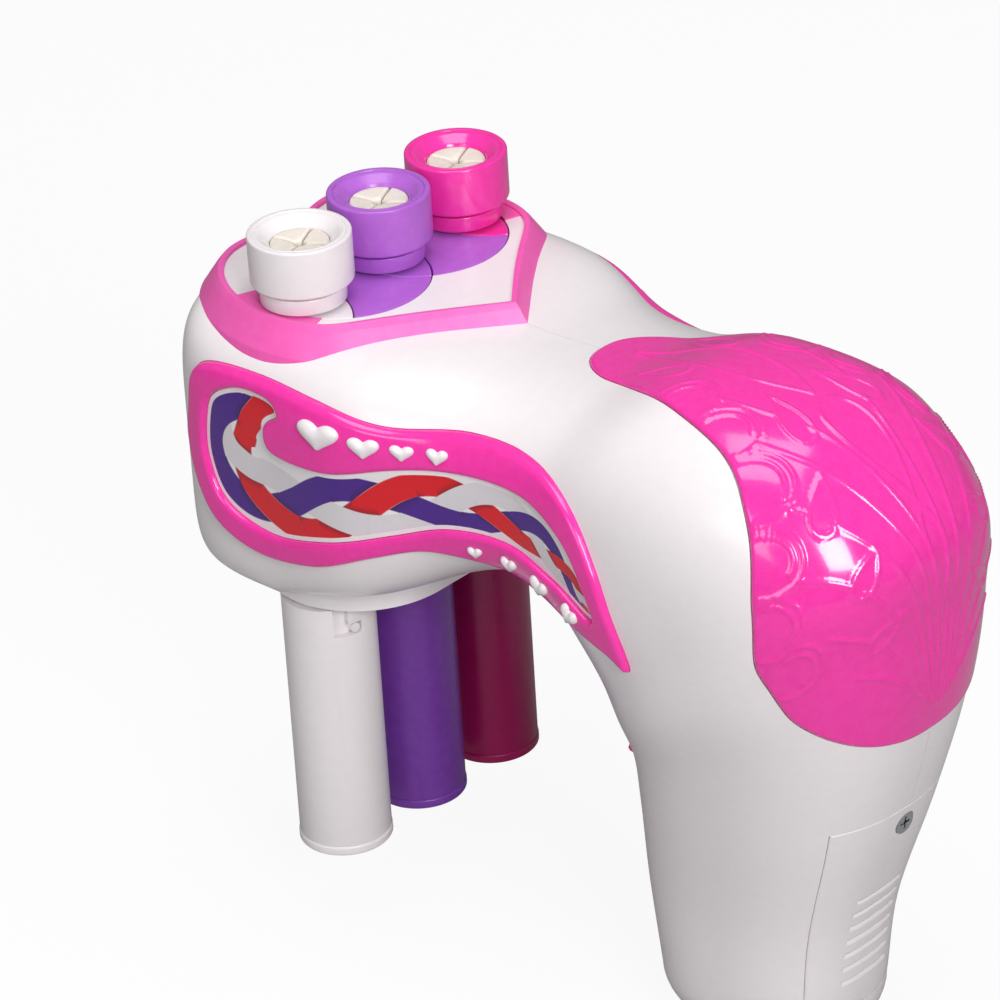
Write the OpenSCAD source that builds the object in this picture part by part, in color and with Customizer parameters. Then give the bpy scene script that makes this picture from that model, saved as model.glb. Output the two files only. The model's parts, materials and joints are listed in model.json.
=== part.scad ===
// Automatic hair braider: three strand holders ride in two overlapping turning discs.
// Millimetres, +Z up. The origin is the centre of the handle's flat base, the tubes hang at -X,
// and the left half of the body is the one at -Y.

/* [Strand holders] */
// Distance between neighbouring strand holders
strand_pitch = 26.1; // [25.6:0.1:27]
// Radius of the collar that a strand enters
collar_r = 12; // [11:0.1:12.4]
// Height of the collar
collar_h = 13; // [10:0.5:15]
// Radius of the collar's mouth at its rim
collar_mouth_r = 9.4; // [8.5:0.1:10]
// Radius of the neck under the collar
neck_r = 10; // [9.6:0.1:10.6]
// Height from the turning plates to the collar
neck_h = 4.4; // [3.5:0.1:6]
// Radius of the strand's channel through the head
channel_r = 4; // [3:0.1:4.2]
// Outer radius of the hanging tube
tube_r = 11; // [10.6:0.1:11.6]
// Wall of the hanging tube
tube_wall = 1.8; // [1.4:0.1:2]
// Height of the tube's open end above the base
tube_end_z = 20; // [10:1:30]
// Twist of the tube between locked and free
tube_twist = 20; // [12:1:30]

/* [Turning discs] */
// Radius of a turning disc
disc_r = 20.1; // [19.6:0.1:20.6]
// Height of the turning plates above the base
plate_z = 162.6; // [161:0.1:165]
// Thickness of the turning plates
plate_t = 3; // [2:0.1:4]
// Running gap round the turning plates
disc_gap = 0.3; // [0.2:0.05:0.5]
// Teeth of a turning disc
disc_teeth = 48; // [48]

/* [Body] */
// Distance from the base's centre to the middle strand holder
handle_reach = 111; // [108:1:114]
// Rim of the head outside the turning discs, at the sides
head_side = 14.35; // [13:0.05:16]
// Distance from the middle strand holder to the head's front
head_front = 40; // [38:0.5:44]
// Height of the head's underside above the base
head_bottom_z = 90; // [88:0.5:92]
// Width of the body at the dome
dome_w = 78; // [74:1:84]
// Width of the grip
grip_w = 43; // [42:1:50]
// Wall of the body
wall = 2.5; // [2:0.1:3]

/* [Heart bezel] */
// Distance from the middle strand holder to the heart's tip
heart_tip = 45.6; // [43:0.1:48]
// Width of the bezel's band
heart_band = 5.3; // [4:0.1:6]
// Height of the bezel's rim over the turning plates
heart_rise = 1.1; // [0.6:0.1:2]

/* [Drive] */
// Teeth of the idler gears
idler_teeth = 18; // [16:1:20]
// Teeth of the gear that reverses the right disc
reversing_teeth = 12; // [11:1:13]
// Teeth that a full turn of the sector gear would hold
sector_teeth = 50; // [50]
// Teeth left standing on each half of the sector gear
stroke_teeth = 23; // [20:1:23]
// Teeth of the sector gear's driven wheel
drive_teeth = 64; // [60:1:66]
// Thickness of a gear's toothed face
gear_t = 4; // [3:0.1:4.4]
// Thickness of the gear decks
deck_t = 2.5; // [2:0.1:3]
// Length of the motor can
motor_h = 27; // [22:1:30]
// Radius of the motor can
motor_r = 12; // [10:0.5:12.5]

/* [Trigger] */
// Width of the trigger
trigger_w = 15; // [12:0.5:17]
// Height of the trigger
trigger_h = 24; // [20:1:26]
// Travel of the trigger
trigger_travel = 3; // [2:0.1:4]

/* [Power] */
// Radius of a battery cell
cell_r = 7.25; // [7.25]
// Length of a battery cell
cell_h = 50.5; // [50.5]

/* [Hidden] */

$fn = 64;
WHITE = "#f4f1ef";
PINK = "#f53aa6";
PURPLE = "#9a55cf";
STEEL = "#b9bdc2";
ROUND_FACETS = 44;      // sides of a round cut in a sculpted piece
BORE_FACETS = 16;       // sides of a screw boss and its bore there
eps = 0.01;
fit = 0.1;          // radial running fit of a shaft or spigot
seat_gap = 0.15;    // gap round a piece seated in a recess
part_gap = 0.3;     // gap between pieces that pass each other

// ---------------------------------------------------------------- heights
disc_y = strand_pitch / 2;
head_w = 2 * (disc_y + disc_r + head_side);
collar_z = plate_z + neck_h;
top_z = collar_z + collar_h;
lower_deck_z = 123.5;
level_a = lower_deck_z + deck_t + 1;
level_b = level_a + gear_t + 1.5;
level_c = level_b + gear_t + 1.5;
level_d = level_c + gear_t + 1;
upper_deck_z = level_d + gear_t + 1.5;
core_bottom_z = head_bottom_z - 2;
disc_bottom_z = core_bottom_z + part_gap;
core_r = channel_r + 1.9;   // radius of a holder's core inside the head
disc_foot_z = lower_deck_z + deck_t + part_gap;
disc_foot_h = upper_deck_z - part_gap - disc_foot_z;

// ---------------------------------------------------------------- body surface
// Each station is a closed cross-section: its back point (x, z), its front point (x, z),
// its half width and its squareness (2 is an ellipse, more is squarer).
head_x = -handle_reach;
head_top_z = plate_z - 3.1;
stations = [
    [head_x, head_top_z, head_x, head_bottom_z, head_w / 2, 4.4],
    [head_x + 28, head_top_z - 0.5, head_x + 26, head_bottom_z + 6.5, head_w / 2, 4.2],
    [head_x + 54, head_top_z + 0.5, head_x + 46, head_bottom_z + 14, head_w / 2 - 2.5, 3.2],
    [head_x + 80, head_top_z + 4.5, head_x + 60, head_bottom_z + 17, dome_w / 2 + 1.5, 2.7],
    [-5, head_top_z + 10, -41, 103, dome_w / 2, 2.4],
    [23, 163, -35, 96, dome_w / 2, 2.3],
    [43, 144, -32, 88, dome_w / 2 - 1, 2.3],
    [51, 120, -30, 80, dome_w / 2 - 3, 2.3],
    [48, 96, -28, 71, dome_w / 2 - 7, 2.4],
    [40, 68, -28, 58, grip_w / 2 + 6, 2.5],
    [30, 38, -28.5, 37, grip_w / 2 + 1.5, 2.5],
    [26, 14, -26, 14, grip_w / 2, 2.5]];
last_station = len(stations) - 1;
nose_plan = 2.8;       // squareness of the nose seen from above
nose_side = 6;         // squareness of the nose seen from the side
base_round = 14;       // height and depth of the rounding round the base

function spow(v, p) = sign(v) * pow(abs(v), p);

// point u of the way along a smooth curve through the rows of p
function along(p, u) =
    let (n = len(p) - 1, i = min(floor(u), n - 1), f = u - i, b = p[i], c = p[i + 1],
         a = i > 0 ? p[i - 1] : 2 * b - c, d = i + 2 <= n ? p[i + 2] : 2 * c - b)
    0.5 * (2 * b + (c - a) * f + (2 * a - 5 * b + 4 * c - d) * f * f
           + (3 * b - a - 3 * c + d) * f * f * f);

// point of cross-section s at angle a (0 is the back, 90 the right side), moved out by grow,
// with the width and height taken down to wide and tall, and the section moved by shift
function section_point(s, a, grow, wide = 1, tall = 1, shift = 0) =
    let (mx = (s[0] + s[2]) / 2, mz = (s[1] + s[3]) / 2,
         hx = (s[0] - s[2]) / 2, hz = (s[1] - s[3]) / 2,
         k = (1 + grow / norm([hx, hz])) * tall * spow(cos(a), 2 / s[5]))
    [mx + hx * k + shift, (s[4] + grow) * wide * spow(sin(a), 2 / s[5]), mz + hz * k];

function body_point(u, a, grow) = section_point(along(stations, u), a, grow);

function section_ring(s, grow, sides, wide = 1, tall = 1, shift = 0) =
    [for (i = [0:sides - 1]) section_point(s, 360 * i / sides, grow, wide, tall, shift)];

function nose_ring(f, grow, sides) =
    let (q = f == 0 ? 0.9995 : pow(cos(90 * f), 2 / nose_plan))
    section_ring(stations[0], grow, sides, pow(1 - pow(q, nose_plan), 1 / nose_plan),
        pow(1 - pow(q, nose_side), 1 / nose_side), -(head_front + grow) * q);

function base_ring(f, grow, sides) =
    let (s = stations[last_station], inset = base_round * (1 - cos(90 * f)),
         drop = (base_round + min(grow, 0)) * sin(90 * f))
    section_ring([s[0] - inset, s[1] - drop, s[2] + inset, s[3] - drop, s[4] - inset, s[5]], grow, sides);

function body_rings(grow, sides, nose_steps, steps, base_steps) = [
    for (i = [0:nose_steps - 1]) nose_ring(i / nose_steps, grow, sides),
    for (i = [0:last_station * steps]) section_ring(along(stations, i / steps), grow, sides),
    for (i = [1:base_steps]) base_ring(i / base_steps, grow, sides)];

// solid through a row of closed rings that all have the same number of points
module loft(rings) {
    n = len(rings[0]);
    m = len(rings);
    polyhedron(
        points = [for (r = rings) each r],
        faces = [[for (i = [n - 1:-1:0]) i],
            for (j = [0:m - 2]) for (i = [0:n - 1])
                let (a = j * n + i, b = j * n + (i + 1) % n) each [[a, b + n, a + n], [a, b, b + n]],
            [for (i = [0:n - 1]) (m - 1) * n + i]],
        convexity = 6);
}

// one mesh out of a sculpted shape and all that is cut from it
module sculpted() {
    resize([0, 0, 0]) children();
}

module body_form(grow = 0, sides = 36, nose_steps = 7, steps = 2, base_steps = 4) {
    loft(body_rings(grow, sides, nose_steps, steps, base_steps));
}

// piece of the body's skin between two depths, between stations u0 and u1, out to edge(u)
module skin(rows, edge_rows, out, inward, columns) {
    loft([for (u = rows) let (e = along(edge_rows, (len(edge_rows) - 1) * (u - rows[0])
            / (rows[len(rows) - 1] - rows[0]))[0]) concat(
        [for (k = [0:columns]) body_point(u, e * (2 * k / columns - 1), out)],
        [for (k = [columns:-1:0]) body_point(u, e * (2 * k / columns - 1), inward)])]);
}

module at_head() {
    translate([head_x, 0, 0]) children();
}

module at_strand(i) {
    translate([head_x, i * strand_pitch, 0]) children();
}

// ---------------------------------------------------------------- heart outline
function heart_r(a, grow) =
    let (t = abs(a > 180 ? a - 360 : a), tip = heart_tip, cross = tip * 1.366,
         lobe = (disc_y + disc_r + 9.35) * (1 - 0.22 * exp(-pow((180 - t) / 24, 2))),
         side = 1 / (cos(t) / tip + sin(t) / cross))
    (t > 125 ? lobe : pow(pow(side, -24) + pow(lobe, -24), -1 / 24)) + grow;

module heart(grow) {
    polygon([for (a = [0:6:354]) let (r = heart_r(a, grow)) [r * cos(a), r * sin(a)]]);
}

function heart_ring(grow, z) =
    [for (a = [360:-6:6]) let (r = heart_r(a, grow)) [r * cos(a), r * sin(a), z]];

// two overlapping round openings, one for each turning disc, whose facets stay outside the radius
module figure_eight(r, z, h, facets = $fn) {
    for (y = [-disc_y, disc_y]) translate([0, y, z])
        cylinder(r = r / cos(180 / facets), h = h, $fn = facets);
}

// ---------------------------------------------------------------- flank outlines, seen from the side
// points are (distance behind the middle strand holder, height)
frame_outline = [[-27, 135], [-24, 145], [-14, 149.6], [4, 149], [24, 147.5], [44, 149.5], [64, 152],
    [80, 150], [91, 141], [96, 126], [99, 113], [105.5, 105.5], [97.5, 108.5], [88, 111.5], [76, 116.5],
    [62, 122], [50, 121.5], [34, 114.5], [18, 107.5], [2, 103], [-12, 105.5], [-22, 114], [-27, 125]];
window_outline = [[-19, 136], [-15, 143], [-4, 146], [5, 144.5], [7, 140], [3.5, 137], [8, 132.5],
    [24, 135], [44, 140.5], [62, 143.8], [76, 142], [85, 136], [90, 125], [95, 113.8], [84, 121],
    [72, 128], [58, 129.5], [42, 124], [24, 116], [8, 112], [-6, 114], [-15, 122]];
upper_hearts = [[20.8, 141.6, 8.7], [33.6, 143.8, 7], [44.8, 145.6, 5.6], [54.6, 147.2, 4.8]];
lower_hearts = [[60.5, 125.5, 3.8], [69.4, 122.6, 4.2], [78.6, 119, 4.8], [87.6, 115.4, 4.8]];

function closed_curve(p, steps) =
    let (n = len(p))
    [for (i = [0:n - 1]) for (k = [0:steps - 1])
        along([p[(i + n - 1) % n], p[i], p[(i + 1) % n], p[(i + 2) % n]], 1 + k / steps)];

// prism across one flank, from the outline out beyond the surface; side -1 is the left
module flank_prism(side) {
    at_head() mirror([0, side < 0 ? 0 : 1, 0]) rotate([90, 0, 0])
        translate([0, 0, 15]) linear_extrude(height = head_w / 2) children();
}

module frame_shape(grow) {
    offset(delta = grow) polygon(closed_curve(frame_outline, 2));
}

module window_shape(grow) {
    offset(delta = grow) polygon(closed_curve(window_outline, 2));
}

module heart_shapes(grow) {
    for (h = concat(upper_hearts, lower_hearts)) translate([h[0], h[1]]) small_heart(h[2] + 2 * grow);
}

module small_heart(w) {
    polygon([for (a = [0:24:336]) w / 34 * [16 * pow(sin(a), 3),
        13 * cos(a) - 5 * cos(2 * a) - 2 * cos(3 * a) - cos(4 * a) + 2]]);
}

frame_rise = 1.3;
recess_depth = 1.2;
plate_rise = 0.2;
hearts_rise = 2.1;
heart_pocket = 0.6;

module skin_layer(out, inward) {
    difference() {
        body_form(out);
        body_form(inward);
    }
}

module trim_frame(side) {
    color(PINK) sculpted() difference() {
        intersection() {
            skin_layer(frame_rise, -recess_depth + 0.05);
            flank_prism(side) difference() {
                frame_shape(0);
                window_shape(0);
            }
        }
        intersection() {
            skin_layer(frame_rise + 1, heart_pocket);
            flank_prism(side) heart_shapes(seat_gap);
        }
    }
}

module picture_plate(side) {
    color(PURPLE) sculpted() intersection() {
        skin_layer(plate_rise, -recess_depth + 0.05);
        flank_prism(side) window_shape(-seat_gap);
    }
}

module hearts(side) {
    color(WHITE) sculpted() intersection() {
        skin_layer(hearts_rise, heart_pocket + 0.05);
        flank_prism(side) heart_shapes(0);
    }
}

// ---------------------------------------------------------------- dome
// half angle of the dome round the body, from its tip by the bezel to its lower end
dome_edge = [[2], [16], [23], [29], [38], [48], [57], [62], [56], [37], [6]];
dome_rows = [for (i = [0:20]) 2.5 + 5.55 * (1 - pow(1 - i / 20, 1.25))];
dome_rise = 1.2;
dome_seat = 1;

module rear_dome() {
    color(PINK) skin(dome_rows, dome_edge, dome_rise, -dome_seat + 0.05, 12);
}

// ---------------------------------------------------------------- battery door
cell_z = 15;            // height of the cells' lower end
cell_x = 4;
cell_lean = 9;          // the cells lean back with the handle
door_post_z = cell_h + 6.5;
door_post_reach = 23.4;
door_margin = 4.6;      // door above the middle of its screw
door_top_z = cell_z + door_post_z * cos(cell_lean) - door_post_reach * sin(cell_lean) + door_margin;
door_u0 = 8 + (stations[8][1] - door_top_z) / (stations[8][1] - stations[9][1]);
door_u1 = last_station;
door_angle = 40;
door_steps = 6;

module door_shape(gap, out, inward) {
    skin([for (i = [0:door_steps]) door_u0 - gap / 30 + (door_u1 - door_u0 + gap / 15) * i / door_steps],
        [[door_angle + gap * 3], [door_angle + gap * 3]], out, inward, 8);
}

screw_head_r = 2.8;
screw_head_h = 1.8;
screw_r = 1.3;
door_rib_z = [22:4:46];
door_rib_w = 16;
door_rib_t = 0.8;
door_rib_depth = 0.6;
door_screw_l = 10;

module battery_door() {
    color(WHITE) sculpted() difference() {
        door_shape(0, 0, -wall + 0.05);
        at_door_screw() {
            cylinder(r = screw_head_r + seat_gap, h = 20, $fn = 24);
            translate([0, 0, -20]) cylinder(r = screw_r + seat_gap, h = 40, $fn = BORE_FACETS);
        }
        intersection() {
            for (z = door_rib_z) translate([0, -door_rib_w / 2, z]) cube([dome_w, door_rib_w, door_rib_t]);
            skin_layer(1, -door_rib_depth);
        }
    }
}

// ---------------------------------------------------------------- screws
screw_slot_w = 0.6;
screw_slot_h = 0.9;

module screw(length) {
    difference() {
        union() {
            cylinder(r = screw_head_r, h = screw_head_h);
            translate([0, 0, -length]) cylinder(r = screw_r, h = length + eps);
        }
        for (a = [0, 90]) rotate([0, 0, a])
            translate([-screw_head_r * 0.57, -screw_slot_w / 2, screw_head_h - screw_slot_h])
                cube([screw_head_r * 1.14, screw_slot_w, 2]);
    }
}

housing_screw_xz = [[head_x - 27.5, 108], [head_x + 47, 114], [-14, 87], [-19.5, 30], [22, 140]];
housing_screw_y = 9;
housing_screw_l = 16;
boss_bore_h = 12;
boss_r = 4.2;

module housing_screws() {
    color(STEEL) for (p = housing_screw_xz) translate([p[0], housing_screw_y, p[1]])
        rotate([-90, 0, 0]) screw(housing_screw_l);
}

module boss(p, side) {
    translate([p[0], 0, p[1]]) rotate([side < 0 ? 90 : -90, 0, 0])
        cylinder(r = boss_r, h = head_w, $fn = BORE_FACETS);
}

module boss_bore(p, side) {
    translate([p[0], 0, p[1]]) rotate([side < 0 ? 90 : -90, 0, 0]) {
        translate([0, 0, -eps]) cylinder(r = screw_r + seat_gap, h = boss_bore_h, $fn = BORE_FACETS);
        if (side > 0) translate([0, 0, housing_screw_y])
            cylinder(r = screw_head_r + seat_gap, h = head_w, $fn = BORE_FACETS);
    }
}

// ---------------------------------------------------------------- housing
module half_space(side) {
    translate([-200, side < 0 ? -100 : 0, -50]) cube([300, 100, 300]);
}

// oval prism round both turning discs
module capsule(r, z, h, facets = $fn) {
    translate([0, 0, z]) linear_extrude(height = h) oval(r, $fn = facets);
}

module oval(r) {
    for (y = [-disc_y, disc_y]) translate([0, y]) circle(r = r);
    square([2 * r, 2 * disc_y], center = true);
}

bottom_hole_r = disc_r + 1.4;

module housing(side) {
    color(WHITE) sculpted() intersection() {
        half_space(side);
        difference() {
            union() {
                difference() {
                    body_form();
                    body_form(-wall, 24, 5, 1, 3);
                }
                intersection() {
                    body_form(-wall / 2, 24, 5, 1, 3);
                    union() {
                        for (p = housing_screw_xz) boss(p, side);
                        for (p = deck_post_at) translate([p[0], side * p[1], head_bottom_z - 5])
                            cylinder(r = post_r, h = lower_deck_z - head_bottom_z + 5, $fn = BORE_FACETS);
                        trigger_guide();
                        switch_cradle();
                        tray_ribs();
                    }
                }
            }
            for (p = housing_screw_xz) boss_bore(p, side);
            for (p = deck_post_at) translate([p[0], side * p[1], lower_deck_z - post_bore_h])
                cylinder(r = screw_r + seat_gap, h = post_bore_h + 1, $fn = BORE_FACETS);
            bezel_recess(0);
            at_head() translate([0, 0, head_top_z - 9]) linear_extrude(height = 20) heart(-bezel_seat_w);
            at_head() capsule(bottom_hole_r, head_bottom_z - 20, 29, ROUND_FACETS);
            intersection() {
                skin_layer(10, -recess_depth);
                flank_prism(side) frame_shape(seat_gap);
            }
            skin(dome_rows, [for (e = dome_edge) e + [0.5]], 6, -dome_seat, 12);
            door_shape(seat_gap, 4, -wall - 4);
            trigger_opening();
        }
    }
}

// ---------------------------------------------------------------- bezel and plates
bezel_foot_z = head_top_z - 0.9;
bezel_seat_w = 8;           // how far the bezel's seat in the housing reaches in from the rim
skirt_drop = 16;            // how far the bezel's skirt would reach under the turning plates
shoulder_drop = 5.5;
rim_in = [2.5, 0.4, -3.2, -4.2, -4.7];
plate_seat_z = plate_z - 2.8;
cover_z = plate_z - 0.2;
ledge_span = [72, 112];     // angles between which a ledge closes the rim up to the discs
ledge_z = plate_z - 1.3;
ledge_rise = 0.3;

// flat-floored recess in the head's top that the bezel drops into
module bezel_recess(gap) {
    at_head() translate([0, 0, bezel_foot_z]) linear_extrude(height = 20) heart(-2.5 - gap);
}

// the part of the heart beside one disc, where a ledge lies
module ledge_area(side, grow) {
    intersection() {
        heart(-heart_band + 0.4 + grow);
        sector(head_w / 2 + 12, side * (ledge_span[0] - grow), side * (ledge_span[1] + grow));
    }
}

module heart_bezel() {
    color(PINK) sculpted() union() {
        difference() {
            at_head() loft([heart_ring(rim_in[0], plate_z - skirt_drop),
                heart_ring(rim_in[1], plate_z - shoulder_drop), heart_ring(rim_in[2], plate_z - 0.3),
                heart_ring(rim_in[3], plate_z + heart_rise - 0.2),
                heart_ring(rim_in[4], plate_z + heart_rise)]);
            difference() {
                body_form();
                bezel_recess(seat_gap);
            }
            at_head() {
                translate([0, 0, plate_z - 30]) linear_extrude(height = 60) heart(-bezel_seat_w + seat_gap);
                translate([0, 0, plate_seat_z]) linear_extrude(height = 60) heart(-heart_band - 0.4);
                translate([0, 0, plate_seat_z]) linear_extrude(height = cover_z - plate_seat_z) heart(-3.9);
            }
        }
        at_head() difference() {
            translate([0, 0, ledge_z]) linear_extrude(height = plate_z + ledge_rise - ledge_z)
                for (side = [-1, 1]) ledge_area(side, 0);
            figure_eight(disc_r + disc_gap, ledge_z - 5, 20, ROUND_FACETS);
        }
    }
}

module top_plate() {
    color(WHITE) at_head() difference() {
        translate([0, 0, plate_seat_z + 0.05])
            linear_extrude(height = cover_z - plate_seat_z - 0.1) heart(-3.9 - seat_gap);
        figure_eight(disc_r + disc_gap, plate_seat_z - 5, 20);
        translate([0, 0, ledge_z - 0.1]) linear_extrude(height = 20)
            for (side = [-1, 1]) ledge_area(side, 2 * seat_gap);
    }
}

module bottom_plate() {
    color(WHITE) sculpted() difference() {
        union() {
            difference() {
                at_head() capsule(bottom_hole_r + 2, disc_bottom_z, 12, ROUND_FACETS);
                body_form();
            }
            at_head() capsule(bottom_hole_r - seat_gap, disc_bottom_z, 9, ROUND_FACETS);
        }
        at_head() figure_eight(deck_hole_r, disc_bottom_z - 5, 30, ROUND_FACETS);
        at_head() capsule(disc_r + 0.2, disc_bottom_z + 3.6, 30, ROUND_FACETS);
    }
}

// ---------------------------------------------------------------- gears
disc_m = 2 * (disc_r - 0.1) / (disc_teeth + 1.8);
drive_m = 0.6;
fine_m = 0.5;
pinion_teeth = 12;
second_teeth = 48;
small_pinion_teeth = 10;
first_teeth = 36;
motor_teeth = 8;
addendum = 0.9;
dedendum = 1.2;

idler_reach = (disc_teeth + idler_teeth) / 2 * disc_m;
right_idler_turn = 25;
left_idler = [head_x + idler_reach, -disc_y];
right_idler = [head_x + idler_reach * cos(right_idler_turn),
    disc_y + idler_reach * sin(right_idler_turn)];
sector_reach = (sector_teeth + idler_teeth) / 2 * disc_m;
sector_x = left_idler[0] + sqrt(pow(sector_reach, 2) - pow(disc_y, 2));
sector_at = [sector_x, 0];
// the reversing gear meshes with both the right idler and the sector gear
reverse_far = norm(right_idler - sector_at);
reverse_near = (sector_teeth + reversing_teeth) / 2 * disc_m;
reverse_side = (idler_teeth + reversing_teeth) / 2 * disc_m;
reverse_along =
    (pow(reverse_near, 2) - pow(reverse_side, 2) + pow(reverse_far, 2)) / (2 * reverse_far);
reverse_off = sqrt(pow(reverse_near, 2) - pow(reverse_along, 2));
reverse_way = (right_idler - sector_at) / reverse_far;
reversing_at =
    sector_at + reverse_along * reverse_way + reverse_off * [reverse_way[1], -reverse_way[0]];
second_x = sector_x + (drive_teeth + pinion_teeth) / 2 * drive_m;
first_x = second_x + (second_teeth + small_pinion_teeth) / 2 * fine_m;
motor_x = first_x + (first_teeth + motor_teeth) / 2 * fine_m;

// phase of a gear that meshes with one of n1 teeth and phase p1, lying in direction dir from it
function mesh_phase(p1, n1, dir, n2) = dir + 180 - (0.5 - (dir - p1) * n1 / 360) * 360 / n2;

function heading(a, b) = atan2(b[1] - a[1], b[0] - a[0]);

sector_dir = heading(left_idler, sector_at);
left_idler_phase = mesh_phase(0, disc_teeth, 0, idler_teeth);
right_idler_phase = mesh_phase(0, disc_teeth, right_idler_turn, idler_teeth);
reversing_phase = mesh_phase(right_idler_phase, idler_teeth,
    heading(right_idler, reversing_at), reversing_teeth);
left_sector_phase = mesh_phase(left_idler_phase, idler_teeth, sector_dir, sector_teeth);
right_sector_phase = mesh_phase(reversing_phase, reversing_teeth,
    heading(reversing_at, sector_at), sector_teeth);
// turn of the sector gear while one disc makes its half turn
stroke_turn = 180 * disc_teeth / sector_teeth;
stroke_rest = 12;       // angle between the last teeth to mesh and the first of the other half

// toothed wheel; standing gives the range of tooth numbers that are there
module gear(teeth, m, h, phase = 0, standing = [0, 1000]) {
    r_root = m * (teeth / 2 - dedendum);
    r_tip = m * (teeth / 2 + addendum);
    pitch = 360 / teeth;
    linear_extrude(height = h) polygon([for (k = [0:teeth - 1]) let (c = phase + k * pitch,
            there = k >= standing[0] && k <= standing[1])
        for (p = there ? [[-0.28, r_root], [-0.11, r_tip], [0.11, r_tip], [0.28, r_root]]
                       : [[-0.28, r_root - 0.4], [0.28, r_root - 0.4]])
            p[1] * [cos(c + p[0] * pitch), sin(c + p[0] * pitch)]]);
}

axle_r = 1.5;
fine_axle_r = 1;

module drilled(r) {
    difference() {
        children();
        translate([0, 0, lower_deck_z]) cylinder(r = r + fit / 2, h = upper_deck_z - lower_deck_z);
    }
}

// hub that spans the decks
module hub(r) {
    translate([0, 0, lower_deck_z + deck_t + part_gap])
        cylinder(r = r, h = upper_deck_z - lower_deck_z - deck_t - 2 * part_gap);
}

module idler_gear(at, level, phase) {
    color("ivory") translate(at) drilled(axle_r) union() {
        translate([0, 0, level]) gear(idler_teeth, disc_m, gear_t, phase);
        hub(3);
    }
}

module reversing_gear() {
    color("ivory") translate(reversing_at) drilled(axle_r) union() {
        translate([0, 0, level_c]) gear(reversing_teeth, disc_m, gear_t, reversing_phase);
        hub(3);
    }
}

// first tooth at or past an angle, so that the two halves take turns
function first_tooth(phase, from) = ceil((from - phase) * sector_teeth / 360);

module half_gear(z, phase, from) {
    first = first_tooth(phase, from);
    translate([0, 0, z]) gear(sector_teeth, disc_m, gear_t,
        phase + first * 360 / sector_teeth, [0, stroke_teeth - 1]);
}

module sector_gear() {
    color("ivory") translate(sector_at) drilled(axle_r) union() {
        translate([0, 0, level_b]) gear(drive_teeth, drive_m, gear_t);
        half_gear(level_c, right_sector_phase, heading(sector_at, reversing_at) + stroke_turn + stroke_rest);
        half_gear(level_d, left_sector_phase, 180 + sector_dir);
        hub(4);
    }
}

second_phase = mesh_phase(0, drive_teeth, 0, pinion_teeth);
first_phase = mesh_phase(0, second_teeth, 0, small_pinion_teeth);
motor_phase = mesh_phase(0, first_teeth, 0, motor_teeth);

module second_reduction_gear() {
    color("ivory") translate([second_x, 0, 0]) drilled(fine_axle_r) union() {
        translate([0, 0, level_a]) gear(second_teeth, fine_m, gear_t);
        translate([0, 0, level_b]) gear(pinion_teeth, drive_m, gear_t, second_phase);
        hub(1.6);
    }
}

module first_reduction_gear() {
    color("ivory") translate([first_x, 0, 0]) drilled(fine_axle_r) union() {
        translate([0, 0, level_b]) gear(first_teeth, fine_m, gear_t);
        translate([0, 0, level_a]) gear(small_pinion_teeth, fine_m, gear_t + 1.5 + eps, first_phase);
        hub(1.6);
    }
}

motor_shaft_r = 0.8;
motor_nose_r = 3;
motor_nose_h = 1.5;
tag_t = 0.5;                // a terminal tag's thickness, width and length
tag_w = 2;
tag_h = 4;

module motor_pinion() {
    color("goldenrod") translate([motor_x, 0, 0]) difference() {
        translate([0, 0, level_b]) gear(motor_teeth, fine_m, gear_t, motor_phase);
        cylinder(r = motor_shaft_r + 0.03, h = upper_deck_z);
    }
}

module motor() {
    color(STEEL) translate([motor_x, 0, 0]) {
        translate([0, 0, lower_deck_z - motor_h]) cylinder(r = motor_r, h = motor_h);
        translate([0, 0, lower_deck_z - eps]) cylinder(r = motor_nose_r, h = motor_nose_h);
        translate([0, 0, lower_deck_z])
            cylinder(r = motor_shaft_r, h = level_b + gear_t - lower_deck_z + 0.5);
        translate([0, 0, lower_deck_z - motor_h - motor_nose_h])
            cylinder(r = motor_nose_r, h = motor_nose_h + 0.1);
        for (y = [-7, 7]) translate([-tag_t / 2, y - tag_w / 2, lower_deck_z - motor_h - tag_h])
            cube([tag_t, tag_w, tag_h + 0.1]);
    }
}

// ---------------------------------------------------------------- decks
deck_hole_r = disc_y + core_r + part_gap;
deck_rim = 3;
deck_post_at = [[head_x - 21, 30], [sector_x + 4, 24]];
post_r = 3.6;
post_bore_h = 9;
spacer_r = 2.8;

module at_deck_posts() {
    for (p = deck_post_at, side = [-1, 1]) translate([p[0], side * p[1]]) children();
}

module deck_outline() {
    translate([head_x, 0]) oval(disc_r + deck_rim);
    at_deck_posts() circle(r = post_r + 0.6);
    front = deck_post_at[0];
    rear = deck_post_at[1];
    for (side = [-1, 1]) polygon([[head_x, 0], [front[0] - post_r - 0.4, side * front[1]],
        [front[0], side * (front[1] + post_r + 0.4)], [head_x, side * (disc_y + disc_r)]]);
    polygon([[head_x, -disc_y - disc_r - deck_rim], [rear[0], -rear[1] - post_r],
        [motor_x + motor_r, -motor_r - 2], [motor_x + motor_r + 3, 0], [motor_x + motor_r, motor_r + 2],
        [rear[0], rear[1] + post_r], [head_x, disc_y + disc_r + deck_rim]]);
}

module deck(z, shaft_hole_r) {
    translate([0, 0, z]) linear_extrude(height = deck_t) difference() {
        deck_outline();
        translate([head_x, 0]) for (y = [-disc_y, disc_y]) translate([0, y]) circle(r = deck_hole_r);
        for (p = axles()) translate([p[0], p[1]]) circle(r = p[2] + 0.03);
        at_deck_posts() circle(r = screw_r + fit / 2);
        if (shaft_hole_r > 0) translate([motor_x, 0]) circle(r = shaft_hole_r);
    }
}

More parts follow.
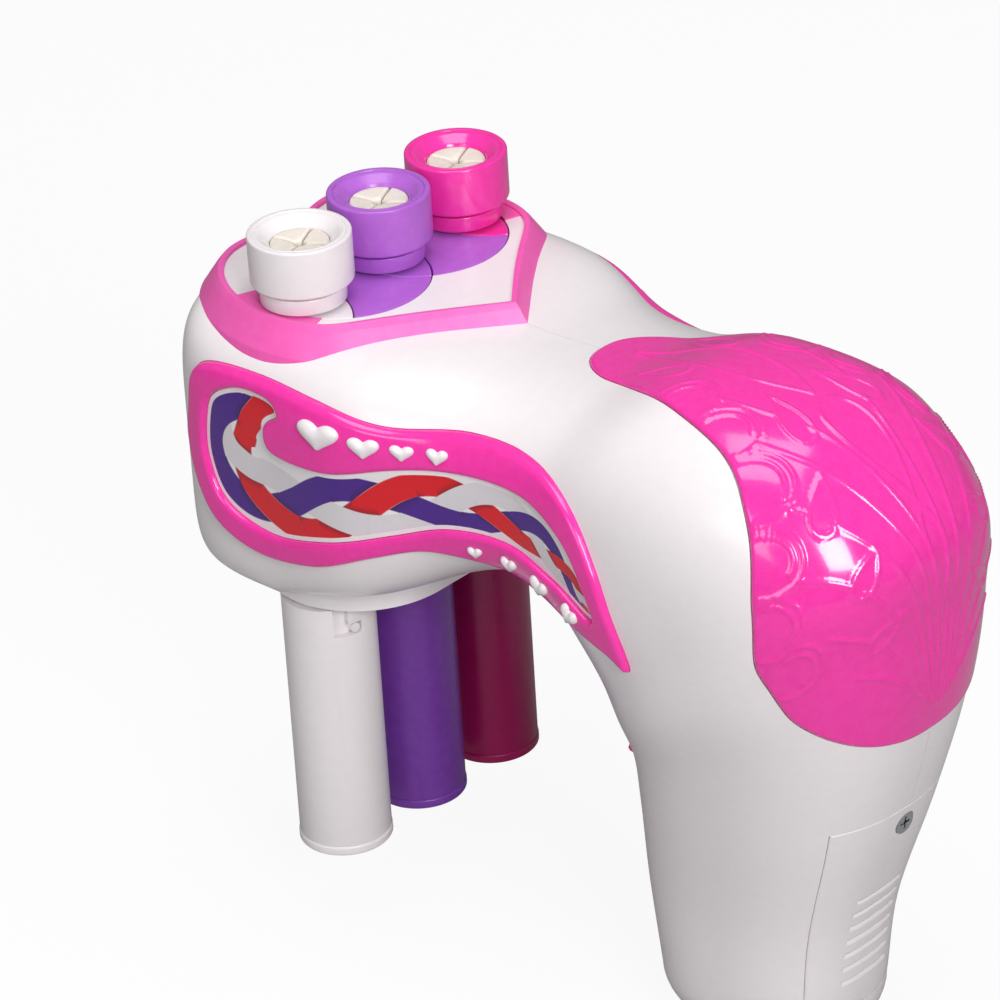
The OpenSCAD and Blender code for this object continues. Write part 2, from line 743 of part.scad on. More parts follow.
module lower_gear_deck() {
    color("silver") union() {
        deck(lower_deck_z, motor_nose_r + fit);
        translate([0, 0, lower_deck_z + deck_t - eps])
            linear_extrude(height = upper_deck_z - lower_deck_z - deck_t) difference() {
                at_deck_posts() circle(r = spacer_r);
                at_deck_posts() circle(r = screw_r + fit / 2);
            }
    }
}

module upper_gear_deck() {
    color("silver") deck(upper_deck_z, 0);
}

// every gear axle: x, y, radius
function axles() = [[each left_idler, axle_r], [each right_idler, axle_r], [each reversing_at, axle_r],
    [each sector_at, axle_r], [second_x, 0, fine_axle_r], [first_x, 0, fine_axle_r]];

module gear_axles() {
    color(STEEL) for (p = axles()) translate([p[0], p[1], lower_deck_z])
        cylinder(r = p[2], h = upper_deck_z + deck_t - lower_deck_z);
}

module deck_screws() {
    color(STEEL) translate([0, 0, upper_deck_z + deck_t]) at_deck_posts()
        screw(upper_deck_z + deck_t - lower_deck_z + post_bore_h - 1);
}

// ---------------------------------------------------------------- turning discs
web_r = 4.2;            // half thickness of a rotor's web between the holders

module rotor_outline(r, z, h) {
    difference() {
        translate([0, 0, z]) cylinder(r = r, h = h);
        for (y = [-strand_pitch, strand_pitch]) translate([0, y, z - 1])
            cylinder(r = disc_r + disc_gap, h = h + 2);
    }
}

module rotor_web(z0, z1) {
    translate([-disc_r + 4.5, -web_r, z0]) cube([2 * disc_r - 9, 2 * web_r, z1 - z0]);
}

module rotor_plate(side) {
    color(PURPLE) translate([head_x, side * disc_y, 0]) {
        rotor_outline(disc_r, plate_z - plate_t, plate_t);
        rotor_web(upper_deck_z + deck_t + part_gap, plate_z - plate_t + eps);
    }
}

module rotor_core(side) {
    color("lavender") translate([head_x, side * disc_y, 0]) {
        difference() {
            translate([0, 0, disc_foot_z]) gear(disc_teeth, disc_m, disc_foot_h);
            for (y = [-strand_pitch, strand_pitch]) translate([0, y, disc_foot_z - 1])
                cylinder(r = disc_r + disc_gap, h = disc_foot_h + 2);
        }
        rotor_web(disc_foot_z + disc_foot_h - eps, upper_deck_z + deck_t + part_gap);
        rotor_web(disc_bottom_z + 1, disc_foot_z + eps);
        rotor_outline(disc_r - 1.2, disc_bottom_z, 3);
    }
}

// the lens left where two discs of radius r overlap
module lens(r, z, h) {
    intersection() {
        translate([0, -disc_y, z]) cylinder(r = r, h = h);
        translate([0, disc_y, z]) cylinder(r = r, h = h);
    }
}

spigot_r = 8.5;
spigot_z = top_z - 6.8;
neck_gap = 0.7;

module carrier(i, shade) {
    color(shade) at_strand(i) difference() {
        union() {
            lens(disc_r, plate_z - plate_t, plate_t);
            translate([0, 0, upper_deck_z + deck_t + part_gap])
                cylinder(r = core_r, h = plate_z + neck_gap - upper_deck_z - deck_t);
            translate([0, 0, plate_z + neck_gap]) cylinder(r = neck_r, h = neck_h - neck_gap);
            translate([0, 0, collar_z - eps]) cylinder(r = spigot_r, h = spigot_z - collar_z);
        }
        translate([0, 0, 100]) cylinder(r = channel_r, h = 100);
        translate([0, 0, collar_z])
            cylinder(r1 = channel_r, r2 = spigot_r - 1.5, h = spigot_z - collar_z + eps);
    }
}

stub_r = tube_r - tube_wall - fit;
stub_h = 18;
tube_top_z = core_bottom_z - 1;
pin_z = core_bottom_z - 7;
pin_r = 1.2;
pin_turn = -11;

module carrier_foot(i, shade) {
    color(shade) at_strand(i) difference() {
        union() {
            intersection() {
                translate([0, -disc_y, disc_foot_z]) gear(disc_teeth, disc_m, disc_foot_h);
                translate([0, disc_y, disc_foot_z]) gear(disc_teeth, disc_m, disc_foot_h);
            }
            translate([0, 0, disc_foot_z + disc_foot_h - eps])
                cylinder(r = core_r, h = upper_deck_z + deck_t + part_gap - disc_foot_z - disc_foot_h);
            translate([0, 0, core_bottom_z - eps])
                cylinder(r = core_r, h = disc_foot_z - core_bottom_z + 2 * eps);
            lens(disc_r - 1.2, disc_bottom_z, 3);
            translate([0, 0, core_bottom_z - stub_h]) cylinder(r = stub_r, h = stub_h);
            for (a = [0, 180]) rotate([0, 0, pin_turn + a]) translate([0, 0, pin_z]) rotate([0, 90, 0])
                cylinder(r = pin_r, h = tube_r - 0.3);
        }
        translate([0, 0, 0]) cylinder(r = channel_r, h = 200);
        translate([0, 0, core_bottom_z - stub_h - eps])
            cylinder(r1 = stub_r - 1.2, r2 = channel_r, h = stub_h);
    }
}

rim_groove_r = collar_r - 1.5;

module collar(i, shade) {
    color(shade) at_strand(i) rotate_extrude() polygon([
        [spigot_r + fit, collar_z], [collar_r - 0.6, collar_z], [collar_r, collar_z + 0.6],
        [collar_r, top_z - 1.2], [collar_r - 0.35, top_z - 0.35], [rim_groove_r + 0.3, top_z],
        [rim_groove_r, top_z - 0.5], [rim_groove_r - 0.3, top_z], [collar_mouth_r, top_z - 0.2],
        [collar_mouth_r - 1.4, top_z - 1], [collar_mouth_r - 2.4, top_z - 2.6],
        [6.8, spigot_z + 2.8], [6.8, spigot_z + 2.6], [spigot_r + fit, spigot_z + 2.6]]);
}

petal_slot = 0.9;

module grip(i) {
    color(WHITE) at_strand(i) difference() {
        translate([0, 0, spigot_z + 0.1]) union() {
            cylinder(r = spigot_r, h = 1.2);
            cylinder(r1 = 7.2, r2 = 6.4, h = 2.6);
        }
        translate([0, 0, spigot_z - 1]) cylinder(r = 1.4, h = 6);
        for (a = [20, 110]) rotate([0, 0, a]) translate([-6, -petal_slot / 2, spigot_z - 1])
            cube([12, petal_slot, 6]);
    }
}

slot_w = 2 * pin_r + 0.6;
slot_turn = asin(slot_w / 2 / (tube_r - tube_wall));
ring_h = 2.5;
ring_spigot_h = 6;

// flat wedge from angle a0 to a1
module sector(r, a0, a1) {
    polygon([[0, 0], for (k = [0:4]) let (a = a0 + (a1 - a0) * k / 4) r * [cos(a), sin(a)]]);
}

module tube(i, shade) {
    color(shade) at_strand(i) difference() {
        translate([0, 0, tube_end_z + ring_h]) cylinder(r = tube_r, h = tube_top_z - tube_end_z - ring_h);
        translate([0, 0, tube_end_z - 1]) cylinder(r = tube_r - tube_wall, h = tube_top_z);
        for (a = [0, 180]) rotate([0, 0, pin_turn + a]) {
            translate([0, 0, pin_z - slot_w / 2]) linear_extrude(height = slot_w)
                sector(tube_r + 3, -tube_twist - slot_turn, slot_turn);
            translate([0, 0, pin_z]) linear_extrude(height = 20)
                sector(tube_r + 3, -tube_twist - slot_turn, -tube_twist + slot_turn);
        }
    }
}

module tube_ring(i, shade) {
    color(shade) at_strand(i) rotate_extrude() polygon([
        [tube_r - tube_wall - 1.2, tube_end_z], [tube_r - 0.2, tube_end_z], [tube_r + 0.2, tube_end_z + 0.4],
        [tube_r + 0.2, tube_end_z + ring_h - 0.4], [tube_r - 0.2, tube_end_z + ring_h],
        [tube_r - tube_wall - 0.02, tube_end_z + ring_h],
        [tube_r - tube_wall - 0.02, tube_end_z + ring_h + ring_spigot_h],
        [tube_r - tube_wall - 1.2, tube_end_z + ring_h + ring_spigot_h]]);
}

// ---------------------------------------------------------------- trigger
trigger_z = 72;
trigger_face_x = -35.5;
trigger_stop_x = -23.6;     // front of the flange that stops the trigger inside the grip
trigger_corner = 3;
finger_r = 19.5;            // hollow for the finger
finger_depth = 2.5;
flange_t = 1.6;
flange_lip = 1.5;
guide_wall = 2;

module trigger_profile(grow) {
    offset(r = trigger_corner + grow, $fn = 20)
        square([trigger_h - 2 * trigger_corner, trigger_w - 2 * trigger_corner], center = true);
}

module along_trigger(x0, x1) {
    translate([x0, 0, trigger_z]) rotate([0, 90, 0]) linear_extrude(height = x1 - x0) children();
}

module trigger_opening() {
    along_trigger(trigger_face_x - 10, trigger_stop_x + 3) trigger_profile(part_gap);
}

// sleeve round the opening, whose inner end stops the trigger's flange
module trigger_guide() {
    along_trigger(trigger_face_x, trigger_stop_x - seat_gap) trigger_profile(part_gap + guide_wall);
}

module trigger_button() {
    color(PINK) {
        difference() {
            along_trigger(trigger_face_x, trigger_stop_x + eps) trigger_profile(0);
            translate([trigger_face_x + finger_depth - finger_r, 0, trigger_z]) rotate([90, 0, 0])
                cylinder(r = finger_r, h = 2 * trigger_w, center = true);
        }
        translate([trigger_stop_x, -trigger_w / 2 - flange_lip, trigger_z - trigger_h / 2 - flange_lip])
            cube([flange_t, trigger_w + 2 * flange_lip, trigger_h + 2 * flange_lip]);
        translate([trigger_stop_x + flange_t - eps, 0, spring_z]) rotate([0, 90, 0])
            cylinder(r = spring_peg_r, h = spring_peg_h);
    }
}

spring_r = 3;
spring_peg_r = 1.8;
spring_peg_h = 3;
spring_wire_r = 0.4;
spring_turns = 5;
spring_z = trigger_z + 3;
spring_x0 = trigger_stop_x + flange_t;
switch_x = -12;

module trigger_spring() {
    lead = switch_x - spring_x0 - 2 * spring_wire_r - 0.1;
    color(STEEL) loft([for (i = [0:spring_turns * 8]) let (a = 45 * i,
            x = spring_x0 + spring_wire_r + 0.05 + lead * i / (spring_turns * 8))
        [for (k = [0:5]) let (r = spring_r + spring_wire_r * cos(60 * k))
            [x + spring_wire_r * sin(60 * k), r * cos(a), spring_z + r * sin(a)]]]);
}

switch_t = 7;
switch_w = 12;
switch_h = 16;
plunger_z = trigger_z - 5;
plunger_x = spring_x0 + trigger_travel + 0.1;

module switch_box(grow, ends = 0) {
    translate([switch_x - grow, -switch_w / 2 - grow - ends, trigger_z - switch_h / 2 - grow])
        cube([switch_t + 2 * grow, switch_w + 2 * grow + 2 * ends, switch_h + 2 * grow]);
}

cradle_t = 1.5;

module trigger_switch() {
    color("#333333") {
        switch_box(0);
        translate([plunger_x, 0, plunger_z]) rotate([0, 90, 0])
            cylinder(r = 1.2, h = switch_x - plunger_x + eps);
        for (z = [-5, 0, 5]) translate([switch_x + switch_t - eps, -1.2, trigger_z + z - 0.2])
            cube([3, 2.4, 0.4]);
    }
}

// ribs across the body that close round the switch
module switch_cradle() {
    difference() {
        switch_box(seat_gap + cradle_t, 30);
        switch_box(seat_gap);
        for (side = [-1, 1]) translate([switch_x - 10,
                side * (switch_w / 2 + seat_gap + cradle_t + 20) - 20, trigger_z - switch_h / 2])
            cube([30, 40, switch_h]);
        translate([switch_x - 10, -switch_w / 2 + cradle_t, trigger_z - switch_h / 2 + cradle_t])
            cube([30, switch_w - 2 * cradle_t, switch_h - 2 * cradle_t]);
    }
}

// ---------------------------------------------------------------- power
cell_y = cell_r + 0.1;
tray_wall = 1.2;
tray_front = cell_r + 0.3 + tray_wall;
tray_back = 7;
tray_side = 2 * cell_r + 0.35 + tray_wall;
tray_bottom = -1 - tray_wall;
tray_top = cell_h + 1 + tray_wall;
door_post_r = 3.2;
door_bore_h = 12;       // depth of the door screw's bore in its post
contact_t = 0.8;
contact_w = 8;
cap_h = 1;              // height of a cell's end cap
cap_r = 2.6;
tray_rib_z = [9, 30, 52];
tray_rib_t = 2;

module in_tray() {
    translate([cell_x, 0, cell_z]) rotate([0, cell_lean, 0]) children();
}

module at_door_screw() {
    in_tray() translate([door_post_reach + 2.1, 0, door_post_z]) rotate([0, 90, 0]) children();
}

module batteries() {
    color("#3c7fb8") in_tray() for (y = [-cell_y, cell_y]) translate([0, y, 0]) {
        cylinder(r = cell_r, h = cell_h - cap_h);
        translate([0, 0, cell_h - cap_h - eps]) cylinder(r = cap_r, h = cap_h);
    }
}

module tray_block(grow, back) {
    translate([-tray_front - grow, -tray_side - grow, tray_bottom - grow])
        cube([tray_front + back + grow, 2 * tray_side + 2 * grow, tray_top - tray_bottom + 2 * grow]);
}

module battery_tray() {
    color(WHITE) in_tray() difference() {
        union() {
            tray_block(0, tray_back);
            translate([-tray_front, 0, door_post_z]) rotate([0, 90, 0])
                cylinder(r = door_post_r, h = tray_front + door_post_reach);
            translate([-tray_front, -tray_wall, tray_top - 1])
                cube([tray_front + door_post_reach, 2 * tray_wall, door_post_z - tray_top]);
        }
        translate([-tray_front + tray_wall, -tray_side + tray_wall, -1])
            cube([60, 2 * (tray_side - tray_wall), cell_h + 2]);
        translate([door_post_reach - door_bore_h, 0, door_post_z]) rotate([0, 90, 0])
            cylinder(r = screw_r + fit / 2, h = door_bore_h + 1);
    }
}

// ribs of the handle that the tray stands in
module tray_ribs() {
    difference() {
        for (z = tray_rib_z) translate([-dome_w, -dome_w / 2, z]) cube([2 * dome_w, dome_w, tray_rib_t]);
        in_tray() tray_block(seat_gap, dome_w);
        in_tray() translate([0, -door_post_r - part_gap, cell_h])
            cube([dome_w, 2 * (door_post_r + part_gap), 2 * (door_post_z - cell_h)]);
        door_shape(seat_gap, 4, -wall - 9);
    }
}

module battery_contacts() {
    color(STEEL) in_tray() for (y = [-cell_y, cell_y], z = [-contact_t - 0.1, cell_h + 0.05])
        translate([-contact_w / 2, y - contact_w / 2, z]) cube([contact_w, contact_w, contact_t]);
}

module battery_door_screw() {
    color(STEEL) at_door_screw() screw(door_screw_l);
}

// ---------------------------------------------------------------- drawing
housing(-1);  // left_housing
housing(1);  // right_housing
rear_dome();
heart_bezel();
top_plate();
bottom_plate();
trim_frame(-1);  // left_trim_frame
trim_frame(1);  // right_trim_frame
picture_plate(-1);  // left_picture_plate
picture_plate(1);  // right_picture_plate
hearts(-1);  // left_hearts
hearts(1);  // right_hearts
trigger_button();
trigger_spring();
trigger_switch();
battery_tray();
battery_door();
battery_door_screw();
batteries();
battery_contacts();
motor();
motor_pinion();
first_reduction_gear();
second_reduction_gear();
sector_gear();
idler_gear(left_idler, level_d, left_idler_phase);  // left_idler_gear
idler_gear(right_idler, level_c, right_idler_phase);  // right_idler_gear
reversing_gear();
gear_axles();
lower_gear_deck();
upper_gear_deck();
deck_screws();
housing_screws();
rotor_plate(-1);  // left_rotor_plate
rotor_core(-1);  // left_rotor_core
rotor_plate(1);  // right_rotor_plate
rotor_core(1);  // right_rotor_core
carrier(-1, WHITE);  // white_carrier
carrier(0, PURPLE);  // purple_carrier
carrier(1, PINK);  // pink_carrier
carrier_foot(-1, WHITE);  // white_carrier_foot
carrier_foot(0, PURPLE);  // purple_carrier_foot
carrier_foot(1, PINK);  // pink_carrier_foot
collar(-1, WHITE);  // white_collar
collar(0, PURPLE);  // purple_collar
collar(1, PINK);  // pink_collar
grip(-1);  // white_grip
grip(0);  // purple_grip
grip(1);  // pink_grip
tube(-1, WHITE);  // white_tube
tube(0, PURPLE);  // purple_tube
tube(1, PINK);  // pink_tube
tube_ring(-1, WHITE);  // white_tube_ring
tube_ring(0, PURPLE);  // purple_tube_ring
tube_ring(1, PINK);  // pink_tube_ring
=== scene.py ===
# %% [markdown]
# # Automatic hair braider
# A hand-held toy: three strand holders stand in two overlapping discs that turn under a heart-shaped rim,
# and a tube hangs under each holder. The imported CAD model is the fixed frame. This lesson dresses it:
# smooth shells where the CAD is faceted, relief, print and finishes. The CAD model's sizes are repeated
# below in millimetres, because a piece fits only if it is worked out from the same numbers.

# %% Load the frame
import json
import math
import bpy
import bmesh
import numpy as np
from mathutils import Matrix, Vector
from mathutils.geometry import delaunay_2d_cdt
from mathutils.kdtree import KDTree

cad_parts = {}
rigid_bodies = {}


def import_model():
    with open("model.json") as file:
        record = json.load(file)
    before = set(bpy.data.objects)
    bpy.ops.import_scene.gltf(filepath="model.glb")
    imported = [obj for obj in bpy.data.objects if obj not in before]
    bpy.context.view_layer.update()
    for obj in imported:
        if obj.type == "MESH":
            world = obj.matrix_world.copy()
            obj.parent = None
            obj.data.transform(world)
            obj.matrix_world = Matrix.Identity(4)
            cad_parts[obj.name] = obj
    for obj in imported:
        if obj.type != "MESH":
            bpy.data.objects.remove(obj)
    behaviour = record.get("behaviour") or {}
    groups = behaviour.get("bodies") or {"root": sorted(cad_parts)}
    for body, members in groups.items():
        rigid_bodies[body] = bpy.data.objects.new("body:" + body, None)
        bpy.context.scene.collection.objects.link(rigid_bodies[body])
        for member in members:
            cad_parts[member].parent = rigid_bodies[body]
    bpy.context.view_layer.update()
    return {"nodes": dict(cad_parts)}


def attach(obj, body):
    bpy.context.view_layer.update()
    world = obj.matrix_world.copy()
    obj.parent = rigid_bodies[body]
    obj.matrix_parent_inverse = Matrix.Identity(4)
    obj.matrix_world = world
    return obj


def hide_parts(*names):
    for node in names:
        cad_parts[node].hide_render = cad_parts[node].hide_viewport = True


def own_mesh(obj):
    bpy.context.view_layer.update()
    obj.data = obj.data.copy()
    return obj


for leftover in list(bpy.data.objects):
    bpy.data.objects.remove(leftover)
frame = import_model()
MM = 0.001

def place_object(name, data):
    """New object with this data, linked to the scene."""
    made = bpy.data.objects.new(name, data)
    bpy.context.scene.collection.objects.link(made)
    return made

# %% [markdown]
# ## Camera
# The photograph looks down on the near flank from the rear left, from far away, with a slight roll. The
# angles were fitted to the round holders, whose circles show the direction of view. A long lens on a
# distant camera gives the same flat perspective.

# %% Camera
CAMERA_ANGLES = 43.974, 28.875, -3.587
CAMERA_PLACE = 0.7270, -0.8349, 0.7494
LENS, SENSOR = 206.68, 36

def make_camera():
    """Camera at an azimuth, an elevation and a roll in degrees. Azimuth 0 looks along +Y."""
    az, el, roll = (math.radians(a) for a in CAMERA_ANGLES)
    back = Vector((math.sin(az) * math.cos(el), -math.cos(az) * math.cos(el), math.sin(el)))
    right = Vector((math.cos(az), math.sin(az), 0))
    up = right.cross(-back)
    across = math.cos(roll) * right + math.sin(roll) * up
    upward = -math.sin(roll) * right + math.cos(roll) * up
    camera = place_object("camera", bpy.data.cameras.new("camera"))
    camera.data.lens, camera.data.sensor_width = LENS, SENSOR
    camera.data.clip_start, camera.data.clip_end = 0.1, 20
    rows = [(across[i], upward[i], back[i], CAMERA_PLACE[i]) for i in range(3)]
    camera.matrix_world = Matrix(rows + [(0, 0, 0, 1)])
    bpy.context.scene.camera = camera

make_camera()
print("camera at", [round(v, 3) for v in bpy.context.scene.camera.location])

# %% [markdown]
# ## Node helpers
# Every material and every Geometry Nodes tree below is wired in code. `wire` adds one node and connects
# or sets its sockets. `Num` wraps a socket so that a formula can be written as one: `(a * b).sin()`.

# %% Node helpers
def wire(tree, kind, sockets=None, **settings):
    made = tree.nodes.new(kind)
    for key, value in settings.items():
        setattr(made, key, value)
    for key, value in (sockets or {}).items():
        target = made.inputs[key]
        if isinstance(value, Num):
            value = value.socket
        if isinstance(value, bpy.types.NodeSocket):
            tree.links.new(value, target)
        else:
            target.default_value = value
    return made

class Num:
    def __init__(self, tree, socket):
        self.tree, self.socket = tree, socket

    def op(self, name, *others):
        made = wire(self.tree, "ShaderNodeMath", {0: self}, operation=name)
        for i, other in enumerate(others):
            if isinstance(other, Num):
                self.tree.links.new(other.socket, made.inputs[i + 1])
            else:
                made.inputs[i + 1].default_value = other
        return Num(self.tree, made.outputs[0])

    def __add__(self, other): return self.op("ADD", other)
    def __sub__(self, other): return self.op("SUBTRACT", other)
    def __mul__(self, other): return self.op("MULTIPLY", other)
    def __truediv__(self, other): return self.op("DIVIDE", other)
    def __rtruediv__(self, other):
        made = wire(self.tree, "ShaderNodeMath", {0: other, 1: self}, operation="DIVIDE")
        return Num(self.tree, made.outputs[0])

    def power(self, other): return self.op("POWER", other)
    def sin(self): return self.op("SINE")
    def cos(self): return self.op("COSINE")
    def abs(self): return self.op("ABSOLUTE")
    def most(self, other): return self.op("MAXIMUM", other)
    def below(self, edge, soft):
        """1 where the value is under edge, fading to 0 over soft."""
        made = wire(self.tree, "ShaderNodeMapRange",
                    {0: self, 1: edge - soft, 2: edge + soft, 3: 1.0, 4: 0.0}, clamp=True)
        return Num(self.tree, made.outputs[0])

def new_geometry_tree(name, inputs):
    tree = bpy.data.node_groups.new(name, "GeometryNodeTree")
    tree.interface.new_socket("Geometry", in_out="INPUT", socket_type="NodeSocketGeometry")
    for label, kind, value in inputs:
        made = tree.interface.new_socket(label, in_out="INPUT", socket_type=kind)
        if value is not None:
            made.default_value = value
    tree.interface.new_socket("Geometry", in_out="OUTPUT", socket_type="NodeSocketGeometry")
    return tree, wire(tree, "NodeGroupInput"), wire(tree, "NodeGroupOutput")

def end_tree(tree, inputs, output, geometry):
    """Every tree ends with real faces in one material, because the export drops instances."""
    real = wire(tree, "GeometryNodeRealizeInstances", {"Geometry": geometry})
    painted = wire(tree, "GeometryNodeSetMaterial", {
        "Geometry": real.outputs[0], "Material": inputs.outputs["Material"]})
    tree.links.new(painted.outputs[0], output.inputs[0])
    return tree

def point_values(mesh, label, values):
    made = mesh.attributes.new(label, "FLOAT", "POINT")
    made.data.foreach_set("value", np.asarray(values, np.float32))

def apply_tree(obj, tree, values, name):
    """Runs a Geometry Nodes tree on obj, and returns the result as a plain mesh object."""
    modifier = obj.modifiers.new("tree", "NODES")
    modifier.node_group = tree
    for item in tree.interface.items_tree:
        if item.item_type == "SOCKET" and item.in_out == "INPUT" and item.name in values:
            modifier[item.identifier] = values[item.name]
    shaped = bpy.data.meshes.new_from_object(
        obj.evaluated_get(bpy.context.evaluated_depsgraph_get()), preserve_all_data_layers=True,
        depsgraph=bpy.context.evaluated_depsgraph_get())
    bpy.data.objects.remove(obj)
    shaped.name = name
    return place_object(name, shaped)

# %% [markdown]
# ## Plastics
# The real toy is moulded in three or four plastics. Each one gets the same recipe: a colour that drifts a
# little over the part, a roughness that drifts too (handling dulls it in patches), and a very fine bump,
# which stands for the spark-eroded grain of the mould. Only the amounts differ. The patterns read Object
# coordinates, so they don't slide when the part moves.

# %% Plastic recipe
MATERIALS = {}

def srgb(r, g, b):
    """Linear colour from the 0 to 255 numbers of a colour picker."""
    linear = [((c / 255 + 0.055) / 1.055) ** 2.4 if c > 10 else c / 255 / 12.92 for c in (r, g, b)]
    return (*linear, 1.0)

def start_material(name):
    material = bpy.data.materials.new(name)
    material.use_nodes = True
    tree = material.node_tree
    shader = tree.nodes["Principled BSDF"]
    place = wire(tree, "ShaderNodeTexCoord").outputs["Object"]
    MATERIALS[name] = material
    return tree, shader, place

def noise(tree, place, scale, detail=2.0, stretch=(1, 1, 1)):
    mapped = wire(tree, "ShaderNodeMapping", {"Vector": place, "Scale": stretch})
    made = wire(tree, "ShaderNodeTexNoise", {"Vector": mapped.outputs[0], "Scale": scale, "Detail": detail})
    return made.outputs[0]

def spread(tree, value, low, high):
    made = wire(tree, "ShaderNodeMapRange", {0: value, 1: 0.1, 2: 0.9, 3: low, 4: high},
                interpolation_type="SMOOTHSTEP")
    return made.outputs[0]

def blend_colour(tree, factor, first, second):
    made = wire(tree, "ShaderNodeMix", data_type="RGBA")
    for socket, value in ((made.inputs[0], factor), (made.inputs[6], first), (made.inputs[7], second)):
        if isinstance(value, Num):
            value = value.socket
        if isinstance(value, bpy.types.NodeSocket):
            tree.links.new(value, socket)
        else:
            socket.default_value = value
    return made.outputs[2]

def plastic(name, colour, shade, rough, grain=0.03, grain_scale=900, coat=0.0, soft=0.0, metal=0.0,
            flake=0.0):
    """colour drifts towards shade; rough is (lowest, highest) roughness; flake is the pearl in it."""
    tree, shader, place = start_material(name)
    drift = spread(tree, noise(tree, place, 420, 2), 0.0, 1.0)
    base = blend_colour(tree, drift, colour, shade)
    if flake:
        glint = Num(tree, noise(tree, place, 5200, 0)).op("SUBTRACT", 0.5) * 4.0 * flake
        light = tuple(min(1.0, c * 0.6 + 0.4) for c in colour[:3]) + (1.0,)
        base = blend_colour(tree, glint, base, light)
    tree.links.new(base, shader.inputs["Base Color"])
    patches = noise(tree, place, 30, 1)
    tree.links.new(spread(tree, patches, rough[0], rough[1]), shader.inputs["Roughness"])
    fine = noise(tree, place, grain_scale, 1)
    bump = wire(tree, "ShaderNodeBump", {"Height": fine, "Strength": grain, "Distance": 0.0001})
    tree.links.new(bump.outputs[0], shader.inputs["Normal"])
    shader.inputs["IOR"].default_value = 1.5
    shader.inputs["Metallic"].default_value = metal
    shader.inputs["Coat Weight"].default_value = coat
    shader.inputs["Coat Roughness"].default_value = 0.08
    shader.inputs["Subsurface Weight"].default_value = soft
    shader.inputs["Subsurface Radius"].default_value = (0.004, 0.003, 0.003)
    shader.inputs["Subsurface Scale"].default_value = 0.5
    return MATERIALS[name]

plastic("white_shell", srgb(242, 236, 238), srgb(239, 233, 235), (0.24, 0.28))
plastic("pink_gloss", srgb(249, 58, 172), srgb(244, 50, 164), (0.16, 0.22), coat=0.3)
plastic("pink_pearl", srgb(249, 56, 172), srgb(244, 46, 164), (0.14, 0.18), coat=0.4, flake=0.06)
plastic("battery_cell", srgb(58, 60, 68), srgb(50, 52, 60), (0.25, 0.35), metal=0.5)
plastic("pink_satin", srgb(251, 104, 190), srgb(247, 94, 183), (0.34, 0.42), grain=0.12)
plastic("purple_gloss", srgb(184, 106, 212), srgb(176, 98, 205), (0.26, 0.32))
plastic("deep_purple", srgb(124, 62, 168), srgb(114, 54, 158), (0.26, 0.34))
plastic("magenta_translucent", srgb(176, 18, 98), srgb(164, 14, 88), (0.26, 0.36))
plastic("gear_acetal", srgb(238, 234, 222), srgb(230, 224, 208), (0.30, 0.42))
plastic("dark_plastic", srgb(38, 38, 42), srgb(46, 46, 50), (0.40, 0.55), grain=0.2)
print(len(MATERIALS), "plastics")

# %% [markdown]
# ## Metals
# Steel screws and axles, brass for the motor pinion, aluminium decks, and the motor's plated can. A metal's
# look is nearly all roughness: fine scratches that run one way (a stretched noise) break up the reflection.

# %% Metals
def metal(name, colour, shade, rough, stretch, scale=900):
    tree, shader, place = start_material(name)
    drift = spread(tree, noise(tree, place, 60, 3), 0.0, 1.0)
    tree.links.new(blend_colour(tree, drift, colour, shade), shader.inputs["Base Color"])
    scratches = noise(tree, place, scale, 3, stretch)
    tree.links.new(spread(tree, scratches, rough[0], rough[1]), shader.inputs["Roughness"])
    bump = wire(tree, "ShaderNodeBump", {"Height": scratches, "Strength": 0.15, "Distance": 0.0001})
    tree.links.new(bump.outputs[0], shader.inputs["Normal"])
    shader.inputs["Metallic"].default_value = 1.0
    return MATERIALS[name]

metal("steel", srgb(196, 198, 202), srgb(178, 181, 186), (0.22, 0.38), (1, 1, 12))
metal("brass", srgb(214, 176, 96), srgb(196, 156, 80), (0.22, 0.36), (1, 1, 8))
metal("deck_aluminium", srgb(206, 208, 211), srgb(194, 197, 201), (0.34, 0.5), (14, 1, 1))
metal("motor_can", srgb(188, 190, 192), srgb(170, 173, 178), (0.26, 0.4), (1, 1, 10))
print(len(MATERIALS), "materials so far")

# %% [markdown]
# ## The body's surface by rule
# The body is a loft: a row of closed cross-sections along a bent line, each a superellipse, which is a
# rectangle with soft corners. Twelve stations give the back and front point of a section, its half width
# and its squareness, and a smooth curve runs through them. The nose and the base close the ends. The
# handle's stations are the CAD model's own. Those of the head, neck and dome follow the real outline more
# closely than the solids do, and still leave the gear decks and screws their room inside.

